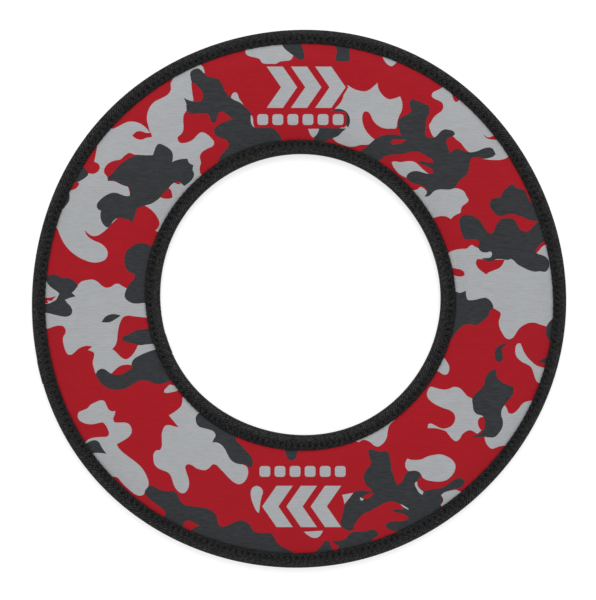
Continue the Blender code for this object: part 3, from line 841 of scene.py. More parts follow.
LEFT_PATCHES = (
    (LIGHT, (
        (-142, 12), (-140.5, 10), (-130, 6), (-126, 3.8), (-124, 5.5), (-122.5, 8), (-120.5, 9.8),
        (-117.5, 10.6), (-114, 10.8), (-111.5, 9.5), (-109.3, 7.5), (-106.7, 6.3), (-104, 7), (-102, 8.3),
        (-100, 8.5), (-98, 7.3), (-95.4, 5.9), (-90, 2), (-82, -2), (-82, -10.5), (-88, -10), (-92, -9.5),
        (-95, -9.2), (-97.3, -10), (-98.9, -12.5), (-100, -16), (-100.6, -20), (-101.1, -24),
        (-102.2, -26.3), (-103.6, -27.8), (-102, -29), (-100, -31), (-98, -32.8), (-95.8, -33.5),
        (-93.5, -32.3), (-91.5, -30), (-90, -27.5), (-89.4, -26), (-87, -25.5), (-84, -25.3), (-79, -25),
        (-77, -28), (-85, -32), (-92, -36.6), (-95.5, -36.5), (-98.5, -37), (-101, -38.5), (-104, -41.4),
        (-108, -44), (-112.5, -41.7), (-113.8, -38.3), (-114.4, -35.3), (-113.8, -32.5), (-113.7, -30),
        (-117.1, -28.4), (-114.6, -26.5), (-117, -26), (-120, -26.5), (-122.7, -27.9), (-124.7, -29.8),
        (-126.5, -31), (-128.2, -30.8), (-129.5, -29), (-130.4, -26.3), (-131, -23.5), (-130.8, -21),
        (-129.6, -18.9), (-129.6, -16.8), (-131, -15.1), (-133.3, -14.7), (-136.3, -15.3),
        (-140.3, -16.5), (-146, -15), (-147, 2),
    )),
    (RED, (
        (-143, 1.2), (-139, 0.7), (-134.8, 1.9), (-136.5, 0.1), (-138.6, -1.9), (-140.5, -2.4),
        (-143, -1.5),
    )),
    (LIGHT, (
        (-140, -0.7), (-137.2, -0.9), (-135.6, 0.3), (-137.3, -1.8), (-139.5, -2.3),
    )),
    (DARK, (
        (-143, 12.5), (-138.5, 13.4), (-136, 13.8), (-133.5, 12.7), (-131.3, 11.7), (-128, 11.8),
        (-125.5, 10.5), (-123.6, 8.8), (-122.6, 7.3), (-124, 5.6), (-126, 3.5), (-123.8, 1.5),
        (-127, 0.7), (-129.8, -0.4), (-128.5, -2.2), (-126.7, -4), (-125.8, -6.3), (-126.5, -8.7),
        (-129, -9.8), (-132, -9.5), (-135.5, -8.8), (-139.3, -7.9), (-145, -7), (-145, -2.7),
        (-138.8, -2.4), (-136.5, -1.3), (-134.8, -0.3), (-134, 1.2), (-133, 3), (-134.3, 4.3),
        (-136.7, 5.8), (-139.3, 8), (-140.7, 10.3),
    )),
    (DARK, (
        (-109.4, -12.8), (-108, -10.5), (-105.5, -8.8), (-102.5, -8.3), (-98.8, -9.2), (-101.5, -11),
        (-104.5, -12.7), (-107, -13),
    )),
    (DARK, (
        (-96.8, 22.5), (-96, 26), (-94.3, 28), (-91.5, 30.1), (-88.5, 31.3), (-85, 31), (-82, 29.6),
        (-76, 32), (-78, 12), (-82, -3), (-86, -2.1), (-89, -2.5), (-92.5, -2.2), (-95, -0.8), (-96.5, 1),
        (-96.4, 3.5), (-95.3, 6.2), (-94, 8.5), (-92, 10.5), (-91, 12.5), (-91.5, 14.1), (-93.7, 15),
        (-95.7, 17), (-96.6, 19.7),
    )),
    (DARK, (
        (-98.1, -22), (-97, -20.8), (-94.5, -19.7), (-92, -18.3), (-89.5, -17.2), (-86.5, -16.7),
        (-80, -16), (-78, -25), (-84, -25.2), (-88, -25.7), (-92, -24.7), (-95.5, -24), (-97.5, -23.3),
    )),
    (DARK, (
        (-112.6, -42), (-111.7, -40), (-109.7, -38.8), (-107.5, -39.2), (-105.5, -40.7), (-103.3, -41.9),
        (-101, -42.3), (-98, -41.8), (-95, -40), (-92.4, -38.2), (-92.8, -36), (-91.3, -33.3),
        (-88.5, -31.5), (-84.5, -29.7), (-81, -28.5), (-75, -27), (-66, -46), (-71, -45.6), (-73, -46.2),
        (-76, -47.3), (-79, -47.3), (-82.5, -46), (-86, -45.3), (-89, -45.7), (-91.5, -47.2),
        (-94.5, -49), (-98, -50.3), (-102, -50.5), (-106, -49.5), (-109, -47.5), (-111.2, -45),
    )),
)
PATCHES = (
    *UPPER_LEFT_PATCHES, *TOP_PATCHES, *UPPER_RIGHT_PATCHES, *RIGHT_PATCHES,
    *LOWER_RIGHT_PATCHES, *BOTTOM_PATCHES, *LOWER_LEFT_PATCHES, *LEFT_PATCHES,
)

# Two plain marks stand where the ring has its maker's: three chevrons beside a row of blocks.
MARK_SPOTS = ((0, (4.5, 118), (1.3, 100)), (pi, (2, -115.5), (2.5, -96)))  # turn, chevrons, blocks
CHEVRONS = 3
CHEVRON_PITCH = 13.5
CHEVRON_WIDTH = 9.0
CHEVRON_POINT = 8.0
CHEVRON_HALF_HEIGHT = 11.5
BLOCKS = 6
BLOCK_PITCH = 8.4
BLOCK_SIZE = 6.0
BLOCK_CORNER = 1.5
BLOCK_CORNER_POINTS = 5
KEY_LINE = 1.5  # red border round the marks

# The print's mesh.
CURVE_STEP = 0.6  # about how long the straight sides along a curve are
SHARP_TURN = 70  # an outline keeps a corner where it turns by more degrees than this
GRID_STEP = 2.0
GRID_ROW_STEP = 0.866 * GRID_STEP  # between staggered rows whose triangles have even sides
CLEARANCE = 0.9  # between the grid's points and the print's outlines
EDGE_ROWS = (-1.2, -0.4, 0.0, 0.45, 1.0, 1.7, 2.6)  # rows of points along a tape, from its free edge
POINTS_PER_STITCH = 6
CUT_EDGE_POINTS = 720
SAME_POINT = 1e-4  # points closer together than this are one
ALL_TRIANGLES = 0  # asks the triangulation for triangles all over
OUTER_LOOP, HOLE_LOOP, FIRST_SHAPE = range(3)  # order of the loops that the triangles keep to


def smooth_outline(points):
    """A closed smooth curve through points, cubic between them, as a list of short straight sides."""
    spots = [np.array(point, float) for point in points]
    sides = [following - this for this, following in zip(spots, spots[1:] + spots[:1])]
    lengths = [np.linalg.norm(side) for side in sides]
    ways = [side / length for side, length in zip(sides, lengths)]
    leans = []
    for before, after in zip([ways[-1], *ways], ways):
        turn = degrees(abs(atan2(before[0] * after[1] - before[1] * after[0], before @ after)))
        lean = before + after
        leans.append(0 * lean if turn > SHARP_TURN else lean / np.linalg.norm(lean))
    outline = []
    for i, length in enumerate(lengths):
        t = np.arange(0, 1 - TINY, 1 / max(1, round(length / CURVE_STEP)))[:, None]
        j = (i + 1) % len(spots)
        start = (1 + 2 * t) * (1 - t) ** 2 * spots[i] + t * (1 - t) ** 2 * length * leans[i]
        finish = t * t * (3 - 2 * t) * spots[j] - t * t * (1 - t) * length * leans[j]
        outline.extend(start + finish)
    return outline


def turned_and_moved(outline, turn, to):
    """An outline turned about the origin and then moved."""
    across = np.array((np.cos(turn), np.sin(turn)))
    up = np.array((-np.sin(turn), np.cos(turn)))
    return [x * across + y * up + np.array(to, float) for x, y in outline]


def chevron(centre, grown):
    """One chevron that points to +x. grown is how far its outline is pushed out."""
    left = centre - CHEVRON_WIDTH / 2 - CHEVRON_POINT / 2 - grown
    right = left + CHEVRON_WIDTH + 2 * grown
    top = CHEVRON_HALF_HEIGHT + grown
    point = CHEVRON_POINT
    return [(left, top), (left + point, 0), (left, -top), (right, -top), (right + point, 0), (right, top)]


def block(centre, grown):
    """One square block with rounded corners."""
    flat = BLOCK_SIZE / 2 + grown - BLOCK_CORNER
    bends = np.linspace(0, pi / 2, BLOCK_CORNER_POINTS)
    corner = [flat + BLOCK_CORNER * np.array((np.cos(bend), np.sin(bend))) for bend in bends]
    outline = []
    for quarter in range(4):
        outline += turned_and_moved(corner, quarter * pi / 2, (0, 0))
    return [(centre + x, y) for x, y in outline]


def spread(count, pitch):
    """Centres of a row of things about the origin."""
    return [(i - (count - 1) / 2) * pitch for i in range(count)]


def marks():
    """(ink, outline) of the plain marks, each row's red borders before its light shapes."""
    shapes = []
    for turn, chevrons_at, blocks_at in MARK_SPOTS:
        for ink, grown in ((RED, KEY_LINE), (LIGHT, 0.0)):
            for centre in spread(CHEVRONS, CHEVRON_PITCH):
                shapes.append((ink, turned_and_moved(chevron(centre, grown), turn, chevrons_at)))
            for centre in spread(BLOCKS, BLOCK_PITCH):
                shapes.append((ink, turned_and_moved(block(centre, grown), turn, blocks_at)))
    return shapes


def ring_of_points(radius, count):
    """Points in millimetres along a circle of the true round ring, as it lies."""
    angle = np.arange(count) * FULL_TURN / count
    return list(settle(np.full(count, radius), angle, 0.0)[:, :2] / MM)


def filling_points(taken):
    """A staggered grid over the band, apart from places close to points already taken."""
    tree = KDTree(len(taken))
    for i, (x, y) in enumerate(taken):
        tree.insert((x, y, 0), i)
    tree.balance()
    reach = OUTER_RADIUS / MM
    inner_row = INNER_TAPE_EDGE + (EDGE_ROWS[-1] + CLEARANCE) * MM
    outer_row = OUTER_TAPE_EDGE - (EDGE_ROWS[-1] + CLEARANCE) * MM
    found = []
    for row, y in enumerate(np.arange(-reach, reach, GRID_ROW_STEP)):
        for x in np.arange(-reach, reach, GRID_STEP) + (row % 2) * GRID_STEP / 2:
            radius, angle = unsettle(x * MM, y * MM)
            if inner_row < radius < outer_row and tree.find((x, y, 0))[2] > CLEARANCE:
                found.append((x, y))
    return found


def loose_points(loops):
    """Points between the loops: a grid over the band, and rows along both tapes' free edges."""
    points = filling_points([point for loop in loops for point in loop])
    for row in EDGE_ROWS:
        for edge in (RIM, HOLE):
            radius = edge.free_edge - edge.outwards * row * MM
            points += ring_of_points(radius, edge.stitches * POINTS_PER_STITCH)
    return points


def turns_left(loop):
    """True for a closed outline that runs anticlockwise."""
    return sum(a[0] * b[1] - a[1] * b[0] for a, b in zip(loop, [*loop[1:], loop[0]])) > 0


def triangulated(loops):
    """Points, triangles that keep to the loops, and the numbers of the loops round each triangle."""
    points = []
    faces = []
    for loop in loops:
        faces.append(list(range(len(points), len(points) + len(loop))))
        points.extend(loop if turns_left(loop) else reversed(loop))
    flat = [Vector((float(x), float(y))) for x, y in points + loose_points(loops)]
    spots, _, triangles, _, _, origins = delaunay_2d_cdt(flat, [], faces, ALL_TRIANGLES, SAME_POINT)
    return spots, triangles, origins


def print_plan():
    """The flat cover in millimetres: its points, the corners of its triangles, and each one's ink."""
    shapes = [(ink, smooth_outline(outline)) for ink, outline in PATCHES] + marks()
    loops = [ring_of_points(radius, CUT_EDGE_POINTS) for radius in (OUTER_CUT_EDGE, INNER_CUT_EDGE)]
    loops += [outline for _, outline in shapes]
    spots, triangles, origins = triangulated(loops)
    kept, inks = [], []
    for triangle, origin in zip(triangles, origins):
        if OUTER_LOOP in origin and HOLE_LOOP not in origin:
            printed_last = max(origin)
            kept.append(triangle)
            inks.append(shapes[printed_last - FIRST_SHAPE][0] if printed_last >= FIRST_SHAPE else RED)
    used = sorted({corner for triangle in kept for corner in triangle})
    place = {old: new for new, old in enumerate(used)}
    corners = [[place[corner] for corner in triangle] for triangle in kept]
    return np.array([spots[i] for i in used]), corners, inks


def border_sides(triangles):
    """Sides that belong to one triangle only, in that triangle's direction."""
    sides = {(t[i], t[(i + 1) % 3]) for t in triangles for i in range(3)}
    return [side for side in sides if (side[1], side[0]) not in sides]


# ------------------------------------------------------------------ the soft pieces


def printed_cover(name, node, plan, side, material):
    """A printed jersey cover. The lower one is the same cut of cloth, turned over."""
    spots, triangles, inks = plan
    radius, angle = unsettle(spots[:, 0] * MM, spots[:, 1] * MM)
    angle = side * angle
    count = len(spots)
    back = [[corner + count for corner in reversed(triangle)] for triangle in triangles]
    walls = [[b, a, a + count, b + count] for a, b in sorted(border_sides(triangles))]
    points = np.concatenate(two_faces(node, radius, angle))
    piece = new_piece(name, points, triangles + back + walls, material, node)
    hold_measure(piece, "ink", "FACE", inks + inks + [RED] * len(walls))
    hold_measure(piece, "from_tape", "POINT", np.tile(beyond_tapes(radius, angle, side), 2))


LAYER_STEPS = 960  # sections round the ring
UNDER_TAPE_STOPS = 3
RISE_STOPS = 8
FLAT_STOPS = 10


def across_the_band(start, inner_edge, outer_edge, finish):
    """Radii at which a layer's surface has its points, closer together on its two rises."""
    return np.concatenate([
        np.linspace(start, inner_edge, UNDER_TAPE_STOPS, endpoint=False),
        np.linspace(inner_edge, inner_edge + RISE_WIDTH, RISE_STOPS, endpoint=False),
        np.linspace(inner_edge + RISE_WIDTH, outer_edge - RISE_WIDTH, FLAT_STOPS, endpoint=False),
        np.linspace(outer_edge - RISE_WIDTH, outer_edge, RISE_STOPS, endpoint=False),
        np.linspace(outer_edge, finish, UNDER_TAPE_STOPS),
    ])


def layer(name, node, material):
    """A hidden layer of the padding: foam, lining or core."""
    start, finish = node_radii(node)
    inner_edge = max(start + TINY, INNER_TAPE_EDGE)
    outer_edge = min(finish - TINY, OUTER_TAPE_EDGE)
    radii = across_the_band(start, inner_edge, outer_edge, finish)
    angles = np.arange(LAYER_STEPS) * FULL_TURN / LAYER_STEPS
    angle, radius = np.meshgrid(angles, radii, indexing="ij")
    upper, lower = two_faces(node, radius, angle)
    sections = np.concatenate([upper, lower[:, ::-1]], axis=1)
    faces = sleeve_faces(LAYER_STEPS, sections.shape[1], closed=True)
    return new_piece(name, sections, faces, material, node)


def lining(name, node, material):
    """The knit that lines the inner side of a foam layer."""
    piece = layer(name, node, material)


def foam(name, node, material):
    """A foam layer."""
    layer(name, node, material)


# ------------------------------------------------------------------ tapes

TAPE_THICKNESS = 0.6 * MM
FOLD_DEPTH = OUTER_RADIUS - OUTER_CUT_EDGE  # from the cut edges in the tape to the outside of its fold
FACE_STOPS = np.array((0.0, 0.2, 0.6, 1.2, 1.7, 2.05, 2.4, 2.75, 3.2, 4.3)) * MM  # from the free edge
FOLD_STEPS = 6
STEPS_PER_STITCH = 8

# What the stitches do to a tape.
GROOVE_HALF_WIDTH = 0.5 * MM
GROOVE_DEPTH = 0.16 * MM
NEEDLE_HOLE_DEPTH = 0.38 * MM  # how much deeper than the groove the tape is pulled there
NEEDLE_HOLE_SHARE = 0.22  # of a stitch's length
PULL_SEED = 3
PULL_RANGE = (0.75, 1.35)  # how hard the stitches are pulled, around the usual 1
PULL_REACH = 0.85 * MM  # how far from the stitch row the painted shade and dirt of a needle hole reach
PUFF = 0.05 * MM  # swelling between the needle holes
PUFF_REACH = 1.3 * MM
SHOWS_INSIDE = 0.4  # share of the groove and the swelling that reaches the tape's inner face
SCALLOP = 0.10 * MM  # how far the free edge is drawn in at each needle hole
SCALLOP_FADE = 3  # how fast the scallops fade on the way to the stitch row

# What its weave and the pinched cover do at its free edges.
EDGE_THINNING = 0.14 * MM  # the woven edge is thinner than the tape
EDGE_REACH = 0.25 * MM
EDGE_SINK = 0.28 * MM  # the free edges press into the cover
SINK_REACH = 1.0 * MM

# The tape's ends overlap. The lower end is pressed flatter and the upper one rides over it.
LAP = 11 * MM
LAP_RAMP = 3 * MM
LAP_STEP = 1.2 * MM
LAP_PRESS = 0.2 * MM
LAP_GAP = 0.02 * MM
LAP_RISE = 0.22 * MM


def needle_holes(angle, stitches):
    """Where a row's needle holes are.

    About 1 at a hole, as hard as that stitch was pulled, and 0 along the stitches between them.
    """
    place = angle * stitches / FULL_TURN
    nearest = np.rint(place)
    pulls = np.random.default_rng(PULL_SEED).uniform(*PULL_RANGE, stitches)
    pull = pulls[nearest.astype(int) % stitches]
    return pull * np.exp(-(((place - nearest) / NEEDLE_HOLE_SHARE) ** 2))


def tape_section(shows):
    """Points over a folded tape's outside, from its upper free edge round the fold to its lower one.

    shows is how wide the tape is on each face. Gives the distance from the free edges, the height above
    the mid-plane, and the way out of the tape.
    """
    face = FACE_STOPS
    turn = np.linspace(pi / 2, -pi / 2, FOLD_STEPS + 1)
    distance = np.concatenate([face, shows - FOLD_DEPTH + FOLD_DEPTH * np.cos(turn), face[::-1]])
    height = np.concatenate([TAPE_OVER + 0 * face, TAPE_OVER * np.sin(turn), -TAPE_OVER + 0 * face])
    out = np.stack([np.cos(turn) / FOLD_DEPTH, np.sin(turn) / TAPE_OVER])
    out = out / np.linalg.norm(out, axis=0)
    out_along = np.concatenate([0 * face, out[0], 0 * face])
    out_up = np.concatenate([1 + 0 * face, out[1], -1 + 0 * face])
    return distance, height, out_along, out_up


def across_tape(distance, height):
    """Distance along the tape's outside from its nearer free edge."""
    sides = np.hypot(np.diff(distance), np.diff(height))
    run = np.concatenate([[0], np.cumsum(sides)])
    return np.minimum(run, run[-1] - run)


def tape_relief(edge, angle, run, across, at_hole):
    """How far a tape's outside and its inner face stand off its plain section, run metres from its start."""
    pressed = 1 - faded(run - LAP, LAP_STEP)
    raised = faded(run - edge.length + LAP_RAMP, LAP_RAMP)
    from_row = across - edge.inset
    groove = (GROOVE_DEPTH + NEEDLE_HOLE_DEPTH * at_hole) * np.exp(-(from_row / GROOVE_HALF_WIDTH) ** 2)
    puff = -PUFF * np.cos(edge.stitches * angle) * np.exp(-(from_row / PUFF_REACH) ** 2)
    sink = EDGE_SINK * np.exp(-(across / SINK_REACH) ** 2)
    thin = EDGE_THINNING * np.exp(-(across / EDGE_REACH) ** 2)
    outside = puff - groove - sink - thin - LAP_PRESS * pressed + LAP_RISE * raised
    lift = TAPE_THICKNESS - LAP_PRESS + LAP_GAP
    inside = SHOWS_INSIDE * (puff - groove) - sink - TAPE_THICKNESS + lift * raised
    return outside, inside


def folded_tape(edge, material):
    """A tape folded over a bound edge and stitched through."""
    distance, height, out_along, out_up = tape_section(abs(edge.fold - edge.free_edge))
    across = across_tape(distance, height)
    whole = edge.length
    steps = int(edge.stitches * STEPS_PER_STITCH * (1 + LAP / whole))
    run = np.linspace(0, whole + LAP, steps)[:, None]
    angle = edge.lap_at + run / edge.free_edge
    at_hole = needle_holes(angle, edge.stitches)
    scallop = SCALLOP * np.cos(edge.stitches * angle) * np.exp(-SCALLOP_FADE * across / edge.inset)
    stray = strayed(edge, angle, np.sign(height)) * np.clip(1 - distance / edge.inset, 0, 1)
    surfaces = []
    for offset in tape_relief(edge, angle, run, across, at_hole):
        reach = edge.free_edge + stray + edge.outwards * (distance + scallop + out_along * offset)
        surfaces.append(settle(reach, angle + 0 * reach, height + out_up * offset))
    outside, inside = surfaces
    every_other_back = slice(None, None, -2)
    sections = np.concatenate([outside, inside[:, every_other_back]], axis=1)
    faces = sleeve_faces(steps, sections.shape[1], closed=False)
    node = f"{edge.node}_binding_tape"
    piece = new_piece(f"{edge.name}_tape", sections, faces, material, node)
    places = np.concatenate([across, across[every_other_back]])
    near_row = np.exp(-((places - edge.inset) / PULL_REACH) ** 2)
    hold_measure(piece, "along", "POINT", edge.outwards * run + 0 * places)
    hold_measure(piece, "across", "POINT", places + 0 * run)
    hold_measure(piece, "pull", "POINT", at_hole * near_row)


# ------------------------------------------------------------------ threads

THREAD_STEPS = 18  # sections for each stitch
THREAD_SIDES = 9
STRANDS = 3
STRAND_DEPTH = 0.16  # of the thread's radius
TWIST_LENGTH = 1.6 * MM
THREAD_SIT = 0.5  # of its radius that a stitch stands out of its groove
THREAD_DIP = 1.2 * MM  # into each needle hole
STITCH_SLANT = 0.07 * MM


def face_rise(edge, angle):
    """How far the tape's face stands over its usual height, because of the lap."""
    past = ((angle - edge.lap_at + pi) % FULL_TURN - pi) * edge.free_edge
    before = LAP_RISE * faded(past + LAP_RAMP, LAP_RAMP)
    after = -LAP_PRESS * (1 - faded(past - LAP, LAP_STEP))
    return np.where(past > LAP, after, before)


def stitch_line(edge, angle, side):
    """The middle of a row's thread: over the tape between needle holes, and down into each of them."""
    at_hole = np.minimum(needle_holes(angle, edge.stitches), 1)
    height = TAPE_OVER - GROOVE_DEPTH + THREAD_SIT * THREAD_RADIUS - THREAD_DIP * at_hole
    height = height + face_rise(edge, side * angle)
    radius = edge.stitch_row + STITCH_SLANT * np.sin(edge.stitches * angle)
    return np.stack([radius * np.cos(angle), radius * np.sin(angle), height], axis=-1)


def lockstitch(edge, kind, side, material):
    """The twisted thread of one stitch row: the needle's on the upper face, the bobbin's on the lower."""
    steps = edge.stitches * THREAD_STEPS
    angle = np.arange(steps) * FULL_TURN / steps
    line = stitch_line(edge, angle, side)
    ahead = np.roll(line, -1, axis=0) - np.roll(line, 1, axis=0)
    ahead = ahead / np.linalg.norm(ahead, axis=1)[:, None]
    sideways = np.stack([np.cos(angle), np.sin(angle), 0 * angle], axis=-1)
    over = np.cross(sideways, ahead)
    around = (np.arange(THREAD_SIDES) * FULL_TURN / THREAD_SIDES)[None, :]
    twists = round(FULL_TURN * edge.stitch_row / TWIST_LENGTH)
    strands = np.cos(STRANDS * around - twists * angle[:, None])
    thick = THREAD_RADIUS * (1 + STRAND_DEPTH * strands)
    reach = thick * np.cos(around)
    lift = thick * np.sin(around)
    tube = line[:, None, :] + reach[..., None] * sideways[:, None, :] + lift[..., None] * over[:, None, :]
    radius = np.hypot(tube[..., 0], tube[..., 1])
    round_angle = np.arctan2(tube[..., 1], tube[..., 0])
    spots = settle(radius, side * round_angle, side * tube[..., 2])
    faces = sleeve_faces(steps, THREAD_SIDES, closed=True)
    new_piece(f"{edge.name}_{kind}_thread", spots, faces, material, f"{edge.node}_{kind}_thread")


# ------------------------------------------------------------------ materials

HUMP_BREADTH = 1.25  # how many times too high a hump's arch is before it is cut off

RED_INK = (0.320, 0.0073, 0.0137)
LIGHT_INK = (0.340, 0.350, 0.362)
DARK_INK = (0.0288, 0.0311, 0.0344)
TAPE_BLACK = (0.0114, 0.0115, 0.0114)
THREAD_BLACK = (0.0095, 0.0095, 0.0095)
NEOPRENE_BLACK = (0.018, 0.018, 0.019)
LINING_GREY = (0.030, 0.030, 0.032)
CORE_WHITE = (0.70, 0.70, 0.67)

WANDER_SHARE = 0.5  # of their pitch, by which a cloth's ribs wander to and fro
LOOP_SHARE = 0.45  # of a knit's height that its loops take up
ALONG_RIBS = (5, 1, 1)  # how the yarn's streaks are drawn out
DARK_STREAKING = 3.0  # how much more the streaks change the brightness of the dark ink than of the others

# Painted shadow of a tape's raised edge on the cover beside it: (share of the shadow's width, shade).
TAPE_EDGE_SHADOW_WIDTH = 2 * MM
TAPE_EDGE_SHADOW_SHADES = ((0.0, 0.55), (0.3, 0.82), (0.6, 0.95), (1.0, 1.0))


class Look:
    """A material and the nodes added to it. A node's input takes another node's output or a plain value."""

    def __init__(self, name, specular, sheen, sheen_roughness):
        self.material = bpy.data.materials.new(name)
        self.material.use_nodes = True
        self.tree = self.material.node_tree
        self.shader = self.tree.nodes["Principled BSDF"]
        self.shader.inputs["Metallic"].default_value = 0.0
        self.shader.inputs["Specular IOR Level"].default_value = specular
        self.shader.inputs["Sheen Weight"].default_value = sheen
        self.shader.inputs["Sheen Roughness"].default_value = sheen_roughness
        self.place = self.node("ShaderNodeTexCoord").outputs["Object"]
        self.x, self.y, _ = self.node("ShaderNodeSeparateXYZ", Vector=self.place).outputs

    def node(self, kind, settings=(), **inputs):
        """Adds a node. Its inputs are named as on the node, with _ for a space."""
        made = self.tree.nodes.new(kind)
        for setting, value in dict(settings).items():
            setattr(made, setting, value)
        for name, value in inputs.items():
            self.feed(made.inputs[name.replace("_", " ")], value)
        return made

    def feed(self, socket, value):
        """Links an output to a node's input, or sets the input to a plain value."""
        if isinstance(value, bpy.types.NodeSocket):
            self.tree.links.new(value, socket)
        else:
            socket.default_value = value

    def math(self, operation, *values):
        """A calculation on numbers or outputs."""
        made = self.node("ShaderNodeMath", {"operation": operation})
        for socket, value in zip(made.inputs, values):
            self.feed(socket, value)
        return made.outputs[0]

    def plus(self, *values):
        """The sum of numbers and outputs."""
        total = values[0]
        for value in values[1:]:
            total = self.math("ADD", total, value)
        return total

    def times(self, *values):
        """The product of numbers and outputs."""
        total = values[0]
        for value in values[1:]:
            total = self.math("MULTIPLY", total, value)
        return total

    def swing(self, amount, value):
        """amount times (value - 1/2), for a value that runs from 0 to 1."""
        return self.times(amount, self.math("SUBTRACT", value, 0.5))

    def varied(self, level, *swings):
        """A level with swings added, each given as (amount, value from 0 to 1)."""
        return self.plus(level, *[self.swing(amount, value) for amount, value in swings])

    def wave(self, distance, pitch):
        """A sine along a distance, from 0 to 1, repeated every pitch."""
        sine = self.math("SINE", self.times(distance, FULL_TURN / pitch))
        return self.math("MULTIPLY_ADD", sine, 0.5, 0.5)

    def hump(self, place):
        """Rises from 0 to a broad 1 and falls back between one whole number and the next."""
        arch = self.math("ABSOLUTE", self.math("SINE", self.times(place, pi)))
        return self.math("MINIMUM", self.times(arch, HUMP_BREADTH), 1.0)

    def noise(self, size, detail=2.0, stretch=(1, 1, 1)):
        """Smooth noise from about 0 to 1 whose blotches are size across, longer where stretch is more."""
        scale = tuple(1 / share for share in stretch)
        spots = self.node("ShaderNodeMapping", Vector=self.place, Scale=scale).outputs[0]
        made = self.node("ShaderNodeTexNoise", Vector=spots, Scale=1 / size, Detail=detail)
        return made.outputs[0]

    def measure(self, name):
        """A number that the mesh holds at each point or face."""
        return self.node("ShaderNodeAttribute", {"attribute_name": name}).outputs["Fac"]

    def ramp(self, value, stops, interpolation="LINEAR"):
        """Colours at places along a value from 0 to 1."""
        made = self.node("ShaderNodeValToRGB", Fac=value)
        made.color_ramp.interpolation = interpolation
        elements = made.color_ramp.elements
        while len(elements) < len(stops):
            elements.new(1.0)
        for element, (place, colour) in zip(elements, stops):
            element.position = place
            element.color = (*colour, 1.0)
        return made.outputs[0]

    def shades(self, distance, width, stops):
        """Shades at places along a distance, as shares of a width."""
        greys = [(place, (grey, grey, grey)) for place, grey in stops]
        return self.ramp(self.math("DIVIDE", distance, width), greys)

    def finish(self, colour, brightness, roughness, height, depth):
        """Joins colour times brightness, roughness and the bump of a 0 to 1 height that is depth deep."""
        shaded = self.node("ShaderNodeVectorMath", {"operation": "SCALE"})
        self.feed(shaded.inputs[0], colour)
        self.feed(shaded.inputs["Scale"], brightness)
        self.feed(self.shader.inputs["Base Color"], shaded.outputs[0])
        self.feed(self.shader.inputs["Roughness"], roughness)
        bump = self.node("ShaderNodeBump", Distance=depth, Height=height)
        self.feed(self.shader.inputs["Normal"], bump.outputs[0])
        return self.material


def knit_height(look, rib_pitch, loop_length):
    """Knit with ribs along x, each a column of V-shaped loops, as a height from 0 to 1."""
    wander = look.swing(WANDER_SHARE * rib_pitch, look.noise(9 * MM, detail=1.0))
    from_groove = look.math("PINGPONG", look.plus(look.y, wander), rib_pitch / 2)
    rib = look.math("SINE", look.times(from_groove, pi / rib_pitch))
    loops = look.wave(look.plus(look.x, from_groove), loop_length)
    return look.times(rib, look.math("MULTIPLY_ADD", loops, LOOP_SHARE, 1 - LOOP_SHARE))


def jersey_look():
    """Nylon jersey with the print's inks, and a painted shadow of the tapes' raised edges beside them.

    Short streaks along the ribs make it lighter and darker, most of all in the dark ink.
    """
    look = Look("printed_jersey", specular=0.10, sheen=0.04, sheen_roughness=0.5)
    ink = look.measure("ink")
    inks = ((RED, RED_INK), ((RED + LIGHT) / 2, LIGHT_INK), ((LIGHT + DARK) / 2, DARK_INK))
    colour = look.ramp(ink, inks, "CONSTANT")
    knit = knit_height(look, rib_pitch=1.1 * MM, loop_length=0.55 * MM)
    yarn = look.noise(0.25 * MM, detail=3.0, stretch=ALONG_RIBS)
    streaks = look.noise(0.9 * MM, stretch=ALONG_RIBS)
    patches = look.noise(22 * MM, detail=3.0)
    scuffs = look.noise(3 * MM, detail=5.0, stretch=(3, 1, 1))
    only_dark = look.math("MAXIMUM", look.math("MULTIPLY_ADD", ink, 2.0, -1.0), 0.0)  # 1 there, else 0
    # streaks along the ribs that make the cover lighter and darker, strongest in the dark ink
    streaking = look.plus(look.swing(0.16, yarn), look.swing(0.22, streaks))
    streaking = look.times(streaking, look.plus(1.0, look.times(DARK_STREAKING, only_dark)))
    # painted shade in the grooves between the knit's ribs, with blotches of uneven tone and scuffs of wear
    rib_shade_and_wear = look.varied(0.99, (0.14, knit), (0.08, patches), (0.10, scuffs))
    # painted shadow of the tapes' raised edges on the cover beside them
    tape_edge_shadow = look.shades(look.measure("from_tape"), TAPE_EDGE_SHADOW_WIDTH, TAPE_EDGE_SHADOW_SHADES)
    brightness = look.times(look.plus(rib_shade_and_wear, streaking), tape_edge_shadow)
    roughness = look.varied(0.82, (0.2, yarn), (-0.1, knit))
    height = look.plus(knit, look.times(yarn, 0.35))
    return look.finish(colour, brightness, roughness, height, depth=0.045 * MM)


def plain_knit_look(name, colour, rib_pitch, loop_length):
    """An unprinted knit."""
    look = Look(name, specular=0.15, sheen=0.08, sheen_roughness=0.5)
    knit = knit_height(look, rib_pitch, loop_length)
    fuzz = look.noise(0.4 * MM, detail=4.0)
    # painted shade in the grooves between the knit's ribs, and fuzz of uneven tone
    brightness = look.varied(0.95, (0.5, knit), (0.3, fuzz))
    roughness = look.varied(0.86, (0.15, fuzz))
    height = look.plus(knit, look.times(fuzz, 0.4))
    return look.finish(colour, brightness, roughness, height, depth=0.05 * MM)


TWILL_PITCH = 1.8 * MM  # of the tape's slanting ribs, along the tape
TWILL_APEX = 2.6 * MM  # where they change direction, from the free edge
FLOAT_LENGTH = 2.2 * MM  # of the yarns that make up a rib, across the tape
FLOAT_OFFSET = 0.38  # of that length, from one rib to the next
YARNS_IN_RIB = 3
NEEDLE_HOLE_SHADE = 0.92  # how much darker painted shade and dirt make the tape where a stitch pulls it into its hole
DARKEST_SHADE = 0.05

# Painted shade and sheen of the tape, from its free edge to its fold: (share of its half width, shade).
TAPE_HALF_WIDTH = 10.2 * MM
TAPE_PAINTED_SHADES = (
    (0.0, 0.50), (0.36, 0.62), (0.43, 0.70), (0.52, 0.82), (0.60, 0.96), (0.65, 0.98), (0.70, 0.72),
    (0.78, 0.55), (1.0, 0.68),
)


